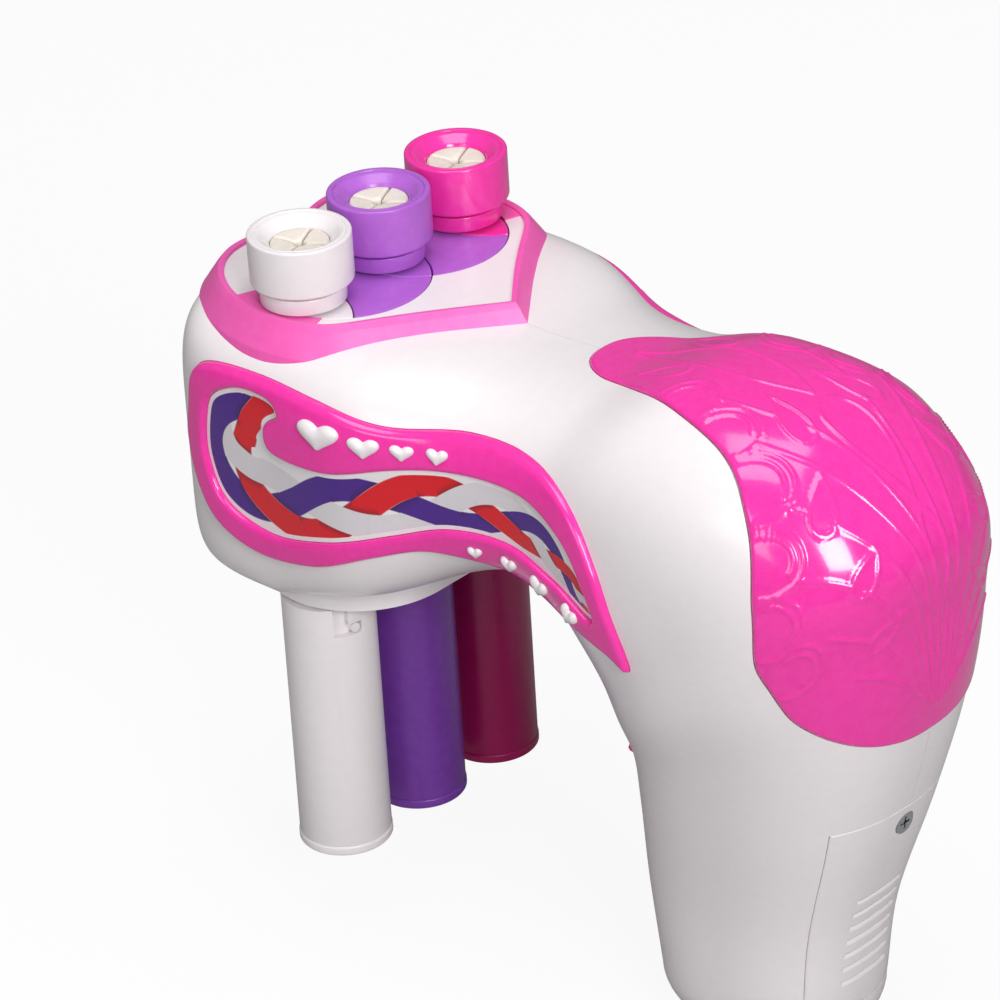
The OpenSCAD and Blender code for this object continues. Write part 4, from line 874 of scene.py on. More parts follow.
def make_plait(round_length=7.6, swing=0.62, half=0.37):
    tree, shader, place = start_material("plait_print")
    spot = wire(tree, "ShaderNodeUVMap", uv_map="plait")
    parts = wire(tree, "ShaderNodeSeparateXYZ", {0: spot.outputs[0]})
    run, across = Num(tree, parts.outputs[0]), Num(tree, parts.outputs[1])
    strands = []
    for phase, colour in STRANDS:
        turn = (run / round_length + phase) * (2 * math.pi)
        slope = turn.cos().abs() * (swing * 2 * math.pi / round_length)
        squeeze = 1 / (slope * slope + 1.0).power(0.5)
        away = (across - turn.sin() * swing).abs() * squeeze - half
        strands.append((away, (turn * 2.0).sin(), colour))
    best, shown = Num(tree, wire(tree, "ShaderNodeValue").outputs[0]), srgb(240, 236, 238)
    best.socket.default_value = -2.0
    coloured = best.op("GREATER_THAN", 0.0)
    for away, height, colour in strands:
        inside_it = away.below(0.0, 0.015)
        above = (height - best).op("GREATER_THAN", 0.0) * inside_it
        shown = blend_colour(tree, above, shown, colour)
        best = best + (height - best) * above
        coloured = coloured + (coloured * -1.0 + float(min(colour[:3]) < 0.5)) * above
    dark = None
    for away, height, colour in strands:
        beside = away.below(0.10, 0.11) * away.op("GREATER_THAN", 0.0)
        near = beside * (height - best).op("GREATER_THAN", 0.02)
        dark = near if dark is None else dark.most(near)
    dark = dark * coloured * 0.6
    shown = blend_colour(tree, dark, shown, (0.02, 0.005, 0.02, 1))
    border = Num(tree, wire(tree, "ShaderNodeAttribute", attribute_name="border").outputs["Fac"])
    shown = blend_colour(tree, border.below(1.1, 0.05), shown, srgb(242, 238, 240))
    tree.links.new(shown, shader.inputs["Base Color"])
    tree.links.new(spread(tree, noise(tree, place, 120, 1), 0.26, 0.29), shader.inputs["Roughness"])
    shader.inputs["Coat Weight"].default_value = 0.3
    shader.inputs["Coat Roughness"].default_value = 0.1

make_plait()

def lay_print(plate, region):
    """Writes the UV map along and across the plait, and the distance from the plate's edge."""
    flat, _, depth = region
    path = along(PLAIT_PATH, np.linspace(0, len(PLAIT_PATH) - 1, 1200))
    middle, half = path[:, :2] + [HEAD_X, 0], path[:, 2]
    step = np.diff(middle, axis=0)
    length = np.linalg.norm(step, axis=1)
    run = np.concatenate([[0], np.cumsum(length / half[:-1])])
    heading = np.vstack([step, step[-1:]]) / np.append(length, length[-1])[:, None]
    tree = KDTree(len(middle))
    for i, (x, z) in enumerate(middle):
        tree.insert((x, z, 0), i)
    tree.balance()
    spots = []
    for x, z in flat:
        i = tree.find((x, z, 0))[1]
        dx, dz = x - middle[i, 0], z - middle[i, 1]
        beyond = (dx * heading[i, 0] + dz * heading[i, 1]) / half[i]
        spots.append((run[i] + beyond, (dz * heading[i, 0] - dx * heading[i, 1]) / half[i]))
    spots = np.array(spots + spots)
    uv = plate.data.uv_layers.new(name="plait")
    corners = np.empty(len(plate.data.loops), int)
    plate.data.loops.foreach_get("vertex_index", corners)
    uv.data.foreach_set("uv", spots[corners].ravel())
    point_values(plate.data, "border", np.concatenate([depth, depth]))

# %% [markdown]
# ## Trim frames, picture plates and hearts
# On each flank a glossy pink frame is pressed into its seat. Its edges are rolled over, which is what
# catches the light. The picture plate in its window carries a printed plait.

# %% Trim frames and picture plates
FRAME_RISE, FRAME_ROUND, SHEET_SEAT, OUTLINE_STEP = 1.75, 1.4, -1.15, 0.6
plate_loop = spaced(window_loop, OUTLINE_STEP)
frame_region = fill(spaced(frame_loop, OUTLINE_STEP), [plate_loop], edge_rings(FRAME_ROUND, 6), 1.0)
plate_region = fill(plate_loop - outward(plate_loop) * SEAT_GAP, [], [], 0.42)
for side, name in ((-1, "left"), (1, "right")):
    trim = flank_sheet(name, side, frame_region, rounded_edge(FRAME_RISE, FRAME_ROUND), SHEET_SEAT)
    finish_piece(trim, name + "_frame", "body", "pink_gloss", [name + "_trim_frame"], 50)
    plate = flank_sheet(name, side, plate_region, lambda d: 0 * d + 0.2, SHEET_SEAT)
    lay_print(plate, plate_region)
    finish_piece(plate, name + "_picture", "body", "plait_print", [name + "_picture_plate"], 50)
    print(trim.name, len(trim.data.polygons), "faces;", plate.name, len(plate.data.polygons))

# %% [markdown]
# ## Puffed hearts
# A row of raised white hearts runs along each frame. One heart is modelled, flat outline first, swelling
# towards its middle. A Geometry Nodes tree then puts a copy on every point of a small cloud, turned to the
# surface's normal and upright, and scaled to that point's width and height. Repeats are what instances
# are for.

# %% Heart tree
def heart_outline(width, count=96):
    t = np.radians(360 * np.arange(count) / count)
    return width / 34 * np.stack([16 * np.sin(t) ** 3,
        13 * np.cos(t) - 5 * np.cos(2 * t) - 2 * np.cos(3 * t) - np.cos(4 * t) + 2], axis=1)

def make_heart(width=8.0, sunk=0.9, high=1.45):
    outline = spaced(heart_outline(width), 0.35)
    for _ in range(9):
        outline = (np.roll(outline, 1, axis=0) + 2 * outline + np.roll(outline, -1, axis=0)) / 4
    flat, triangles, depth = fill(outline, [], edge_rings(0.9, 4), 0.55)
    swell = np.sqrt(np.clip(1 - (1 - np.clip(depth / 2.6, 0, 1)) ** 2, 0, 1))
    n = len(flat)
    top = np.column_stack([flat, 0.05 + (high - 0.05) * swell])
    under = np.column_stack([flat, np.full(n, -sunk)])
    return closed_object("one_heart", np.vstack([top, under]), two_sided(triangles, n))

def make_stamp_tree():
    tree, inputs, output = new_geometry_tree("copies on points", [
        ("Copy", "NodeSocketObject", None), ("Material", "NodeSocketMaterial", None)])
    template = wire(tree, "GeometryNodeObjectInfo", {"Object": inputs.outputs["Copy"]})
    facing = wire(tree, "GeometryNodeInputNamedAttribute", {"Name": "facing"}, data_type="FLOAT_VECTOR")
    upright = wire(tree, "GeometryNodeInputNamedAttribute", {"Name": "upright"}, data_type="FLOAT_VECTOR")
    width = wire(tree, "GeometryNodeInputNamedAttribute", {"Name": "width"}, data_type="FLOAT")
    height = wire(tree, "GeometryNodeInputNamedAttribute", {"Name": "height"}, data_type="FLOAT")
    turned = wire(tree, "FunctionNodeAxesToRotation", {
        "Primary Axis": facing.outputs[0], "Secondary Axis": upright.outputs[0]},
        primary_axis="Z", secondary_axis="Y")
    wide = Num(tree, width.outputs[0])
    tall = Num(tree, height.outputs[0])
    scale = wire(tree, "ShaderNodeCombineXYZ", {
        "X": wide, "Y": tall, "Z": tall.power(0.5)})
    stamped = wire(tree, "GeometryNodeInstanceOnPoints", {
        "Points": inputs.outputs["Geometry"], "Instance": template.outputs["Geometry"],
        "Rotation": turned.outputs[0], "Scale": scale.outputs[0]})
    return end_tree(tree, inputs, output, stamped.outputs[0])

STAMP = make_stamp_tree()

def stamp(copy, points, facing, upright, widths, heights, name, material):
    """A copy of an object on every point, as one plain mesh."""
    mesh = bpy.data.meshes.new(name)
    mesh.from_pydata((np.asarray(points, float) * MM).tolist(), [], [])
    for label, value in (("facing", facing), ("upright", upright)):
        mesh.attributes.new(label, "FLOAT_VECTOR", "POINT").data.foreach_set(
            "vector", np.asarray(value, np.float32).ravel())
    for label, value in (("width", widths), ("height", heights)):
        point_values(mesh, label, value)
    cloud = place_object(name, mesh)
    made = apply_tree(cloud, STAMP, {"Copy": copy, "Material": MATERIALS[material]}, name)
    face_outwards(made)
    return made

def flank_normal(x, z, side, grow):
    h = 0.2
    dx = (half_width(x + h, z, grow) - half_width(x - h, z, grow)) / (2 * h)
    dz = (half_width(x, z + h, grow) - half_width(x, z - h, grow)) / (2 * h)
    n = np.stack([-dx, np.full(np.shape(x), float(side)), -dz], axis=1)
    return n / np.linalg.norm(n, axis=1)[:, None]

one_heart = make_heart()
HEART_LEAN = np.array([0, 0, 0, 0, 0, 8, 20, 28])
HEART_WIDE = np.array([1.45, 1.4, 1.35, 1.35, 1.2, 1.2, 1.2, 1.2])
HEART_TALL = np.array([0.98, 1.0, 0.98, 1.05, 1.25, 1.35, 1.4, 1.4])
marks = np.array(HEART_MARKS)
heart_x, heart_z = marks[:, 0] + HEAD_X, marks[:, 1]
for side, name in ((-1, "left"), (1, "right")):
    spots = np.stack([heart_x, side * half_width(heart_x, heart_z, 1.7), heart_z], axis=1)
    facing = flank_normal(heart_x, heart_z, side, 1.7)
    lean = np.radians(HEART_LEAN)
    upright = np.stack([np.sin(lean), 0 * lean, np.cos(lean)], axis=1)
    hearts = stamp(one_heart, spots, facing, upright, marks[:, 2] / 8 * HEART_WIDE,
                   marks[:, 2] / 8 * HEART_TALL, name, "white_shell")
    finish_piece(hearts, name + "_puffed_hearts", "body", "white_shell", [name + "_hearts"], 50)
    print(hearts.name, len(hearts.data.polygons), "faces")
bpy.data.objects.remove(one_heart)

# %% [markdown]
# ## Heart-shaped rim
# The satin pink rim stands round the turning plates. In section it is a sloped band outside, a narrow lip
# on top, and a groove inside that holds the white plate's edge. The section is swept round the heart, and
# the body is cut away from its foot so that it sits on the shell.

# %% Rim
def sweep_heart(profile, name, step=1.0):
    loops = [heart_loop(grow, step) for grow, _ in profile]
    n, m = len(profile), len(loops[0])
    vertices = [(*loops[j][i], profile[j][1]) for i in range(m) for j in range(n)]
    return closed_object(name, vertices, ringed(n, m))

RIM_RISE = 1.1
rim_profile = [(2.5, PLATE_Z - 16), (0.4, PLATE_Z - 5.5), (-3.2, PLATE_Z - 0.3), (-4.35, PLATE_Z + RIM_RISE),
               (-5.7, PLATE_Z + RIM_RISE - 0.25), (-5.7, PLATE_Z - 0.2), (-3.9, PLATE_Z - 0.2),
               (-3.9, PLATE_Z - 2.8), (-7.85, PLATE_Z - 2.8), (-7.85, PLATE_Z - 16)]
rim = sweep_heart(rounded(rim_profile, [0, 1.6, 0.5, 0.35, 0.25, 0, 0, 0, 0, 0], 4), "rim")
under_rim = copy_of(body_solid, "under_rim")
cut(under_rim, prism(heart_loop(-2.65), HEAD_TOP_Z - 0.9, HEAD_TOP_Z + 12))
cut(rim, under_rim)
for side in (-1, 1):
    ledge = prism(heart_loop(-HEART_BAND + 0.4), PLATE_Z - 1.3, PLATE_Z + 0.3)
    reach = [(HEAD_X, 0)] + [(HEAD_X + 70 * math.cos(math.radians(a)), side * 70 * math.sin(math.radians(a)))
                             for a in np.linspace(72, 112, 5)]
    cut(ledge, prism(reach, PLATE_Z - 5, PLATE_Z + 5), "INTERSECT")
    for y in (-DISC_Y, DISC_Y):
        cut(ledge, prism(circle(HEAD_X, y, DISC_R + 0.3, 180), PLATE_Z - 9, PLATE_Z + 9))
    cut(rim, ledge, "UNION")
finish_piece(rim, "heart_rim", "body", "pink_satin", ["heart_bezel"], 24)
print("rim", len(rim.data.polygons), "faces")

# %% Heart plate
plate = prism(heart_loop(-4.0), PLATE_Z - 2.75, PLATE_Z)
for y in (-DISC_Y, DISC_Y):
    cut(plate, prism(circle(HEAD_X, y, DISC_R + PART_GAP, 180), PLATE_Z - 9, PLATE_Z + 9))
finish_piece(plate, "heart_plate", "body", "white_shell", ["top_plate"], 30)
print("heart plate", len(plate.data.polygons), "faces")

# %% [markdown]
# ## Rear dome
# The pink shell over the back of the handle carries raised lines: veins that fan up from its lower end,
# drop-shaped loops between them, and scallops along its edges. The lines are drawn in a flat map of the
# shell, as distances along and across it, then laid on the surface. Every vertex is raised by its distance
# to the nearest line, so all lines have one width, however the surface bends.

# %% Skin patches with a height field
def nearest(points, cloud):
    tree = KDTree(len(cloud))
    for i, p in enumerate(cloud):
        tree.insert(p, i)
    tree.balance()
    return np.array([tree.find(p)[2] for p in points])

def skin_piece(name, u, e, columns, height, inward, inner=12):
    """Closed piece of skin. height(points, along, across, edge distance) gives how far it stands out."""
    f = np.linspace(-1, 1, columns + 1)
    rows = len(u)
    rowed = lambda at, heights: np.array([
        surface_points(np.full(len(at), a), at, np.full(len(at), b), h) for a, b, h in zip(u, e, heights)])
    base = rowed(f, [0.8] * rows)
    mid = columns // 2
    down = np.concatenate([[0], np.cumsum(np.linalg.norm(np.diff(base[:, mid], axis=0), axis=1))])
    steps = np.linalg.norm(np.diff(base, axis=1), axis=2)
    across = np.concatenate([np.zeros((rows, 1)), np.cumsum(steps, axis=1)], axis=1)
    across -= across[:, mid:mid + 1]
    rim_points = np.vstack([spaced(np.vstack([base[:, 0], base[-1], base[::-1, -1], base[0, ::-1]]), 0.25)])
    edge = nearest(base.reshape(-1, 3), rim_points).reshape(rows, -1)
    lift = height(base, down, across, edge)
    outer = rowed(f, lift)
    under = rowed(np.linspace(-1, 1, inner + 1), [inward] * rows)
    n, m, start = columns + 1, inner + 1, rows * (columns + 1)
    faces = [(i * n + j, i * n + j + 1, (i + 1) * n + j + 1, (i + 1) * n + j)
             for i in range(rows - 1) for j in range(columns)]
    faces += [(start + i * m + j, start + (i + 1) * m + j, start + (i + 1) * m + j + 1, start + i * m + j + 1)
              for i in range(rows - 1) for j in range(inner)]
    faces += [(i * n, (i + 1) * n, start + (i + 1) * m, start + i * m) for i in range(rows - 1)]
    faces += [(i * n + n - 1, start + i * m + m - 1, start + (i + 1) * m + m - 1, (i + 1) * n + n - 1)
              for i in range(rows - 1)]
    for i in (0, rows - 1):
        faces.append([i * n + j for j in range(n)] + [start + i * m + j for j in range(m)][::-1])
    return closed_object(name, np.vstack([outer.reshape(-1, 3), under.reshape(-1, 3)]), faces)

# %% Relief lines
def smooth_line(points, steps=24):
    u = np.arange((len(points) - 1) * steps + 1) / steps
    return along(points, u)

def drop(s, t, heading, length, width):
    """Drop-shaped loop round (s, t), pointed towards heading, in degrees from the way along the dome."""
    a = np.radians(np.arange(0, 361, 4))
    x, y = -length / 2 * np.cos(a), width * 0.77 * np.sin(a) * np.sin(a / 2) ** 1.4
    h = math.radians(heading)
    return np.stack([s - x * math.cos(h) - y * math.sin(h), t - x * math.sin(h) + y * math.cos(h)], axis=1)

def scallop(s, t, r, start, end):
    a = np.radians(np.linspace(start, end, 40))
    return np.stack([s + r * np.cos(a), t + r * np.sin(a)], axis=1)

VEINS = [smooth_line(points) for points in (
    [[146, 0.8], [122, 1.6], [98, 3.4], [76, 7.4], [56, 13], [36, 15]],
    [[146, 1.8], [124, 3.9], [103, 7.4], [84, 13], [67, 20], [52, 22]],
    [[145, 2.9], [125, 6.4], [108, 11.6], [94, 18.6], [82, 27], [74, 34]],
    [[144, 4.1], [127, 9.2], [114, 16.4], [104, 25], [98, 34]],
    [[143, 5.4], [131, 11.8], [121, 20], [115, 30]],
    [[141, 7.0], [133, 15], [128, 24]],
    [[62, 0.0], [52, 3.8], [40, 5.4], [30, 4.4], [20, 2.2], [10, 0.6]])]
LEAVES = [drop(*numbers) for numbers in (
    (80, 0, 0, 30, 10), (79, 0, 0, 19, 5.2), (110, 0, 0, 24, 4.6), (26, 9.0, 170, 15, 5),
    (64, 9.8, 196, 17, 5.4), (86, 20.2, 214, 14, 5.6), (104, 19.2, 226, 12, 4.8),
    (120, 16.0, 236, 11, 4.0), (45, 17.5, 186, 15, 5.6))]
SCALLOPS = ((42, 0.86, 7.5), (57, 0.9, 8.5), (73, 0.93, 9.5),
            (90, 0.93, 9.0), (106, 0.9, 8.0), (120, 0.84, 7.0))

def visible_lines(down, reach):
    """The relief in order, each line stopped where it would run under a leaf drawn before it."""
    shown, leaves = [], []
    for s, share, r in SCALLOPS:
        t = share * np.interp(s, down, reach)
        shown += [(scallop(s, t, r, 0, 360), list(leaves)), (scallop(s, t, r - 2.1, 150, 330), list(leaves))]
        leaves.append(scallop(s, t, r + 0.2, 0, 351))
    for leaf in LEAVES:
        shown.append((leaf, list(leaves)))
        leaves.append(leaf[:-1])
    return shown + [(vein, leaves) for vein in VEINS]

def without_scraps(line, shortest=3.0):
    """Blanks the pieces of a broken line that are too short to read as a line."""
    there = ~np.isnan(line[:, 0])
    edges = np.flatnonzero(np.diff(np.concatenate([[0], there.astype(int), [0]])))
    for start, end in zip(edges[::2], edges[1::2]):
        if np.linalg.norm(np.diff(line[start:end], axis=0), axis=1).sum() < shortest:
            line[start:end] = np.nan
    return line

RIDGE_HALF, RIDGE_HIGH, DOME_RISE = 0.75, 0.40, 0.76

def rolled_edge(edge, radius):
    """How far the surface drops near its edge, on a round of this radius."""
    return radius - np.sqrt(np.maximum(radius ** 2 - (radius - np.minimum(edge, radius)) ** 2, 0))

def dome_height(points, down, across, edge):
    rows, columns = across.shape
    reach = across[:, -1]
    lines = visible_lines(down, reach)
    cloud = []
    for line, hidden_by in lines:
        fine = np.arange(0, len(line) - 1 + 1e-9, 0.25)
        line = np.stack([np.interp(fine, np.arange(len(line)), line[:, c]) for c in (0, 1)], axis=1)
        for leaf in hidden_by:
            line = np.where(inside(line, leaf)[:, None], np.nan, line)
        line = without_scraps(line)
        for side in (-1, 1):
            p = line * np.array([1, side])
            p = p[~np.isnan(p[:, 0])]
            if len(p) < 2:
                continue
            long = np.concatenate([[0], np.cumsum(np.linalg.norm(np.diff(p, axis=0), axis=1))])
            q = np.arange(0, long[-1], 0.2)
            s, t = np.interp(q, long, p[:, 0]), np.interp(q, long, p[:, 1])
            gap = np.linalg.norm(np.diff(p, axis=0), axis=1)
            jump = np.interp(q, long[1:], gap) > 1.6
            keep = (s > down[0]) & (s < down[-1]) & (np.abs(t) < np.interp(s, down, reach) - 0.8) & ~jump
            i = np.interp(s[keep], down, np.arange(rows))
            i0 = np.minimum(i.astype(int), rows - 2)
            for a, b, v in zip(i0, i - i0, t[keep]):
                near = [np.array([np.interp(v, across[k], points[k, :, c]) for c in range(3)])
                        for k in (a, a + 1)]
                cloud.append(near[0] * (1 - b) + near[1] * b)
    away = nearest(points.reshape(-1, 3), cloud).reshape(rows, columns)
    ridge = np.clip(1 - away / RIDGE_HALF, 0, 1)
    ridge = ridge * ridge * (3 - 2 * ridge)
    fade = np.clip((edge - 0.6) / 1.2, 0, 1)
    print("relief drawn with", len(lines) * 2, "lines and", len(cloud), "points")
    return DOME_RISE + RIDGE_HIGH * ridge * fade - rolled_edge(edge, 0.9)

u, e = patch_rows(*DOME_U, 330, DOME_EDGE, DOME_ENDS)
dome = skin_piece("dome", u, e, 240, dome_height, -0.95)
finish_piece(dome, "relief_dome", "body", "pink_pearl", ["rear_dome"], 60)
print("dome", len(dome.data.polygons), "faces")

# %% [markdown]
# ## Battery door
# The door closes the back of the handle. It is the same skin, with finger grooves pressed in and a
# counterbored screw hole above them.

# %% Battery door
def door_height(points, down, across, edge):
    z, y = points[..., 2], points[..., 1]
    sunk = np.zeros(z.shape)
    for groove in range(22, 47, 4):
        bar = np.clip(1 - np.abs(z - groove - 0.4) / 0.75, 0, 1)
        ends = np.clip((8.2 - np.abs(y)) / 0.6, 0, 1)
        sunk = np.maximum(sunk, 0.6 * bar * bar * (3 - 2 * bar) * ends)
    return -sunk - rolled_edge(edge, 0.5)

u, e = patch_rows(*DOOR_U, 220, [[DOOR_EDGE]] * 2)
door = skin_piece("door", u, e, 120, door_height, -WALL + 0.05)
post = LEAN @ Vector((20, 0, 57)), LEAN @ Vector((25.5, 0, 57)), LEAN @ Vector((45, 0, 57))
cut(door, rod(post[0], post[2], SCREW_R + SEAT_GAP))
cut(door, rod(post[1], post[2], HEAD_R + SEAT_GAP, sides=48))
finish_piece(door, "battery_cover", "body", "white_shell", ["battery_door"], 40)
print("door", len(door.data.polygons), "faces")

# %% [markdown]
# ## Underside plate
# A white plate with two overlapping holes closes the head from below and carries the ends of the turning
# cores. It is cut flush with the body.

# %% Underside plate
CORE_BOTTOM = HEAD_BOTTOM_Z - 2 + PART_GAP
plate = prism(oval(DISC_R + 3.4), CORE_BOTTOM, CORE_BOTTOM + 12)
cut(plate, copy_of(body_solid, "under"))
cut(plate, prism(oval(CORE_ROOM - SEAT_GAP), CORE_BOTTOM, CORE_BOTTOM + 9), "UNION")
for y in (-DISC_Y, DISC_Y):
    cut(plate, prism(circle(HEAD_X, y, DISC_Y + 5.9 + PART_GAP), CORE_BOTTOM - 5, CORE_BOTTOM + 25))
cut(plate, prism(oval(DISC_R + 0.2), CORE_BOTTOM + 3.6, CORE_BOTTOM + 33))
finish_piece(plate, "underside_plate", "body", "white_shell", ["bottom_plate"], 30)
print("underside plate", len(plate.data.polygons), "faces")

# %% [markdown]
# ## Collars
# Each strand goes in through a thick collar: a broad outer rim with a fine groove, then a dished face down
# to the mouth. A turned part is a lathe job: one closed section, rounded at its corners, spun on the
# holder's axis.

# %% Collars
HOLDERS = (("white", -1, "left_disc", "white_shell"), ("purple", 0, "purple_holder", "purple_gloss"),
           ("pink", 1, "right_disc", "pink_gloss"))
PITCH, COLLAR_R, COLLAR_Z, TOP_Z, SPIGOT_R, SPIGOT_Z = 26.1, 12.0, 168.2, 180.0, 8.5, 173.2
collar_section = rounded([
    (SPIGOT_R + 0.1, COLLAR_Z), (COLLAR_R, COLLAR_Z), (COLLAR_R, TOP_Z), (COLLAR_R - 1.25, TOP_Z),
    (COLLAR_R - 1.5, TOP_Z - 0.45), (COLLAR_R - 1.8, TOP_Z - 0.1), (9.3, TOP_Z - 0.35), (7.3, TOP_Z - 1.9),
    (6.9, TOP_Z - 2.6), (6.9, SPIGOT_Z + 2.6), (SPIGOT_R + 0.1, SPIGOT_Z + 2.6)],
    [0.2, 0.7, 0.9, 0.15, 0.1, 0.25, 1.2, 0.8, 0.2, 0.1, 0.1], 5)
for name, i, body, material in HOLDERS:
    collar = lathe(collar_section, HEAD_X, i * PITCH, name)
    finish_piece(collar, name + "_strand_collar", body, material, [name + "_collar"], 40)
    print(collar.name, len(collar.data.polygons), "faces")

# %% [markdown]
# ## Petals
# Soft white petals in each collar close round the strand and hold it. One petal is a wedge with a domed top
# and rounded edges, and the copies tree sets four of them round the axis.

# %% Petals
def make_petal(inner=1.3, outer=7.9, spread=89, low=0.1, high=4.4):
    rings, spokes = 10, 18
    r = inner + (outer - inner) * (1 - np.cos(np.linspace(0, np.pi, rings + 1))) / 2
    half = math.radians(spread / 2)
    a = half * np.sin(np.linspace(-np.pi / 2, np.pi / 2, spokes + 1))
    R, A = np.meshgrid(r, a, indexing="ij")
    slit = np.clip(1 - 0.28 / R, 0.3, 1)
    A = A * slit
    edge = np.minimum(np.minimum(R - inner, outer - R), R * (half * slit - np.abs(A)))
    swell = np.sqrt(np.clip(1 - (1 - np.clip(edge / 0.6, 0, 1)) ** 2, 0, 1))
    bowl = 1.1 * (1 - R / outer) ** 2
    top = np.stack([R * np.cos(A), R * np.sin(A), high - 0.6 + 0.6 * swell - bowl], axis=2)
    under = np.stack([R * np.cos(A), R * np.sin(A), np.full(R.shape, low)], axis=2)
    n, m = spokes + 1, (rings + 1) * (spokes + 1)
    faces = []
    for i in range(rings):
        for j in range(spokes):
            quad = (i * n + j, (i + 1) * n + j, (i + 1) * n + j + 1, i * n + j + 1)
            faces += [quad, tuple(v + m for v in quad[::-1])]
    rim_loop = [j for j in range(n)] + [i * n + n - 1 for i in range(1, rings + 1)]
    rim_loop += [rings * n + j for j in range(n - 2, -1, -1)] + [i * n for i in range(rings - 1, 0, -1)]
    faces += [(a, b, b + m, a + m) for a, b in zip(rim_loop, rim_loop[1:] + rim_loop[:1])]
    return closed_object("one_petal", np.vstack([top.reshape(-1, 3), under.reshape(-1, 3)]), faces)

plastic("petal_white", srgb(240, 232, 222), srgb(230, 220, 208), (0.38, 0.52), grain=0.1, soft=0.2)
one_petal = make_petal(outer=6.8)
for name, i, body, _ in HOLDERS:
    spots = np.tile([HEAD_X, i * PITCH, SPIGOT_Z], (4, 1))
    turns = np.radians([65, 155, 245, 335])
    upright = np.stack([-np.sin(turns), np.cos(turns), 0 * turns], axis=1)
    petals = stamp(one_petal, spots, np.tile([0, 0, 1], (4, 1)), upright, np.ones(4), np.ones(4),
                   name, "petal_white")
    finish_piece(petals, name + "_petals", body, "petal_white", [name + "_grip"], 50)
    print(petals.name, len(petals.data.polygons), "faces")
bpy.data.objects.remove(one_petal)

# %% [markdown]
# ## Trigger spring
# A small compression spring returns the trigger. It is a helix, so Geometry Nodes draws it from a spiral
# curve and a round wire. In the toy it shortens with the trigger; here it is made at one fixed length.

# %% Spring
SPRING_X, SPRING_Z, SPRING_R, WIRE_R, TURNS = (-22.0, -12.0), 75.0, 3.0, 0.4, 5

def make_spring_tree():
    tree, inputs, output = new_geometry_tree("wound wire", [
        ("Length", "NodeSocketFloat", 0.01), ("Radius", "NodeSocketFloat", 0.003),
        ("Wire", "NodeSocketFloat", 0.0004), ("Turns", "NodeSocketFloat", 5.0),
        ("Material", "NodeSocketMaterial", None)])
    spiral = wire(tree, "GeometryNodeCurveSpiral", {
        "Resolution": 24, "Rotations": inputs.outputs["Turns"], "Start Radius": inputs.outputs["Radius"],
        "End Radius": inputs.outputs["Radius"], "Height": inputs.outputs["Length"]})
    section = wire(tree, "GeometryNodeCurvePrimitiveCircle", {
        "Resolution": 10, "Radius": inputs.outputs["Wire"]})
    wound = wire(tree, "GeometryNodeCurveToMesh", {
        "Curve": spiral.outputs[0], "Profile Curve": section.outputs[0], "Fill Caps": True})
    return end_tree(tree, inputs, output, wound.outputs[0])

seed = new_object("spring_seed", [(0, 0, 0)], [])
spring = apply_tree(seed, make_spring_tree(), {
    "Length": (SPRING_X[1] - SPRING_X[0] - 2 * WIRE_R) * MM, "Radius": (SPRING_R - WIRE_R) * MM,
    "Wire": WIRE_R * MM, "Turns": float(TURNS), "Material": MATERIALS["steel"]}, "trigger_return_spring")
spring.data.transform(Matrix.Translation(Vector((SPRING_X[0] + WIRE_R, 0, SPRING_Z)) * MM)
                      @ Matrix.Rotation(math.radians(90), 4, "Y"))
face_outwards(spring)
finish_piece(spring, "trigger_return_spring", "body", "steel", ["trigger_spring"], 60)
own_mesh(spring)
print("spring", len(spring.data.polygons), "faces")

# %% [markdown]
# ## CAD pieces that stay
# Discs, tubes, gears and fasteners are right as the CAD has them. Each one gets its finish, and the ones
# that show also get a fine bevel: the Weld modifier joins the loose triangles, and the Bevel modifier
# breaks the sharp edges that no moulding has.

# %% Finishes of the CAD nodes
CAD_FINISH = {
    "white_shell": ["white_carrier", "white_carrier_foot", "white_tube", "white_tube_ring", "battery_tray"],
    "purple_gloss": ["purple_carrier", "left_rotor_plate", "right_rotor_plate"],
    "pink_gloss": ["pink_carrier", "trigger_button"],
    "deep_purple": ["purple_tube", "purple_tube_ring", "purple_carrier_foot"],
    "magenta_translucent": ["pink_tube", "pink_tube_ring", "pink_carrier_foot"],
    "gear_acetal": ["left_rotor_core", "right_rotor_core", "sector_gear", "left_idler_gear",
                    "right_idler_gear", "reversing_gear", "second_reduction_gear", "first_reduction_gear"],
    "brass": ["motor_pinion"],
    "motor_can": ["motor"],
    "steel": ["gear_axles", "deck_screws", "housing_screws", "battery_door_screw", "battery_contacts"],
    "battery_cell": ["batteries"],
    "deck_aluminium": ["lower_gear_deck", "upper_gear_deck"],
    "dark_plastic": ["trigger_switch"],
}
BEVELLED = {"left_rotor_plate": 0.25, "right_rotor_plate": 0.25, "trigger_button": 0.6}
for colour, *_ in HOLDERS:
    BEVELLED |= {colour + "_carrier": 0.3, colour + "_tube": 0.25, colour + "_tube_ring": 0.2}

def paint(node, material):
    obj = frame["nodes"][node]
    if not obj.material_slots:
        obj.data.materials.append(None)
    for holder in obj.material_slots:
        holder.material = MATERIALS[material]

for material, nodes in CAD_FINISH.items():
    for node in nodes:
        paint(node, material)
for node, width in BEVELLED.items():
    obj = frame["nodes"][node]
    weld = obj.modifiers.new("weld", "WELD")
    weld.merge_threshold = 1e-6
    bevel = obj.modifiers.new("bevel", "BEVEL")
    bevel.width, bevel.segments, bevel.limit_method = width * MM, 3, "ANGLE"
    bevel.angle_limit = math.radians(40)
print(sum(len(v) for v in CAD_FINISH.values()), "CAD nodes painted,", len(BEVELLED), "bevelled")

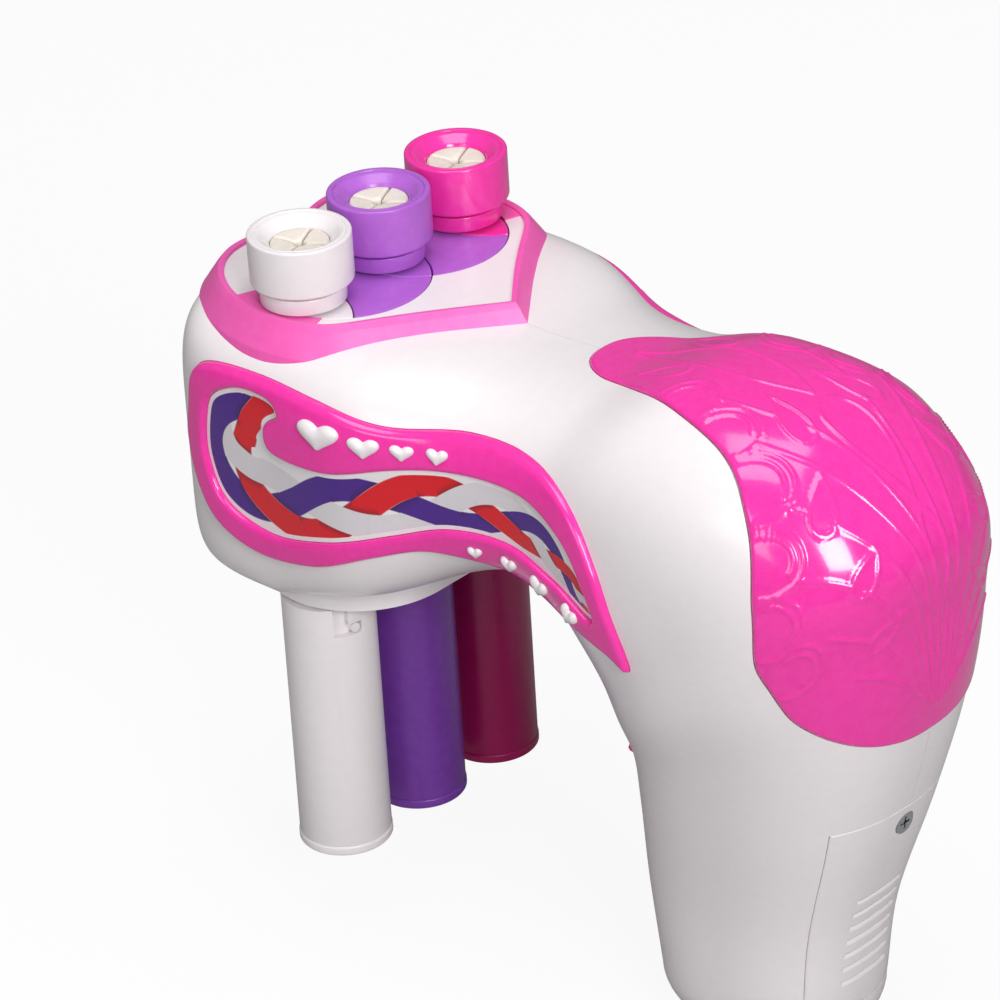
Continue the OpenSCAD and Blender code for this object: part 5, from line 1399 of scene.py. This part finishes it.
# %% [markdown]
# ## Floor, light and finish
# A pale floor and a white surround, with one broad lamp over the object, a strong soft one from the right
# and a weak one from the left. The camera sees the surround at full white, while the object is lit by a
# weaker one, so pale plastic keeps its shading.

# %% Stage and light
def make_floor():
    floor = new_object("floor", [(-3, -3, 0), (3, -3, 0), (3, 3, 0), (-3, 3, 0)], [(0, 1, 2, 3)], 1.0)
    tree, shader, _ = start_material("floor")
    seen = wire(tree, "ShaderNodeLightPath")
    pale = Num(tree, seen.outputs["Is Camera Ray"]) * 0.5 + 0.4
    tree.links.new(wire(tree, "ShaderNodeCombineColor", {0: pale, 1: pale, 2: pale}).outputs[0],
                   shader.inputs["Base Color"])
    shader.inputs["Roughness"].default_value = 0.9
    shader.inputs["Specular IOR Level"].default_value = 0.1
    glow = wire(tree, "ShaderNodeEmission", {"Color": (1, 1, 1, 1), "Strength": 1.0})
    share = Num(tree, seen.outputs["Is Camera Ray"]) * 0.92
    mix = wire(tree, "ShaderNodeMixShader", {0: share, 1: shader.outputs[0], 2: glow.outputs[0]})
    tree.links.new(mix.outputs[0], tree.nodes["Material Output"].inputs[0])
    floor.data.materials.append(MATERIALS["floor"])

def make_world():
    world = bpy.data.worlds.new("surround")
    bpy.context.scene.world = world
    world.use_nodes = True
    tree = world.node_tree
    seen = wire(tree, "ShaderNodeLightPath")
    direct = Num(tree, seen.outputs["Is Camera Ray"]).most(Num(tree, seen.outputs["Is Transmission Ray"]))
    strength = direct * 0.8 + 0.2
    surround = tree.nodes["Background"]
    surround.inputs["Color"].default_value = (1, 1, 1, 1)
    tree.links.new(strength.socket, surround.inputs["Strength"])

LAMP_TARGET = -0.05, 0, 0.1
LAMPS = (("overhead", (0.0, -0.1, 1.3), 0.8, 8.0), ("right_softbox", (1.15, -0.6, 0.9), 0.5, 13.0),
         ("left_softbox", (0.2, -1.4, 0.8), 0.6, 4.0))

def area_lamp(name, place, size, power):
    lamp = bpy.data.lights.new(name, "AREA")
    lamp.shape, lamp.size, lamp.size_y, lamp.energy = "RECTANGLE", size, size, power
    obj = place_object(name, lamp)
    obj.location = place
    obj.rotation_euler = (Vector(LAMP_TARGET) - Vector(place)).to_track_quat("-Z", "Y").to_euler()

make_floor()
make_world()
for lamp_numbers in LAMPS:
    area_lamp(*lamp_numbers)
bpy.context.scene.view_settings.view_transform = "Standard"

# %% Remove the helper solid
bpy.data.objects.remove(body_solid)
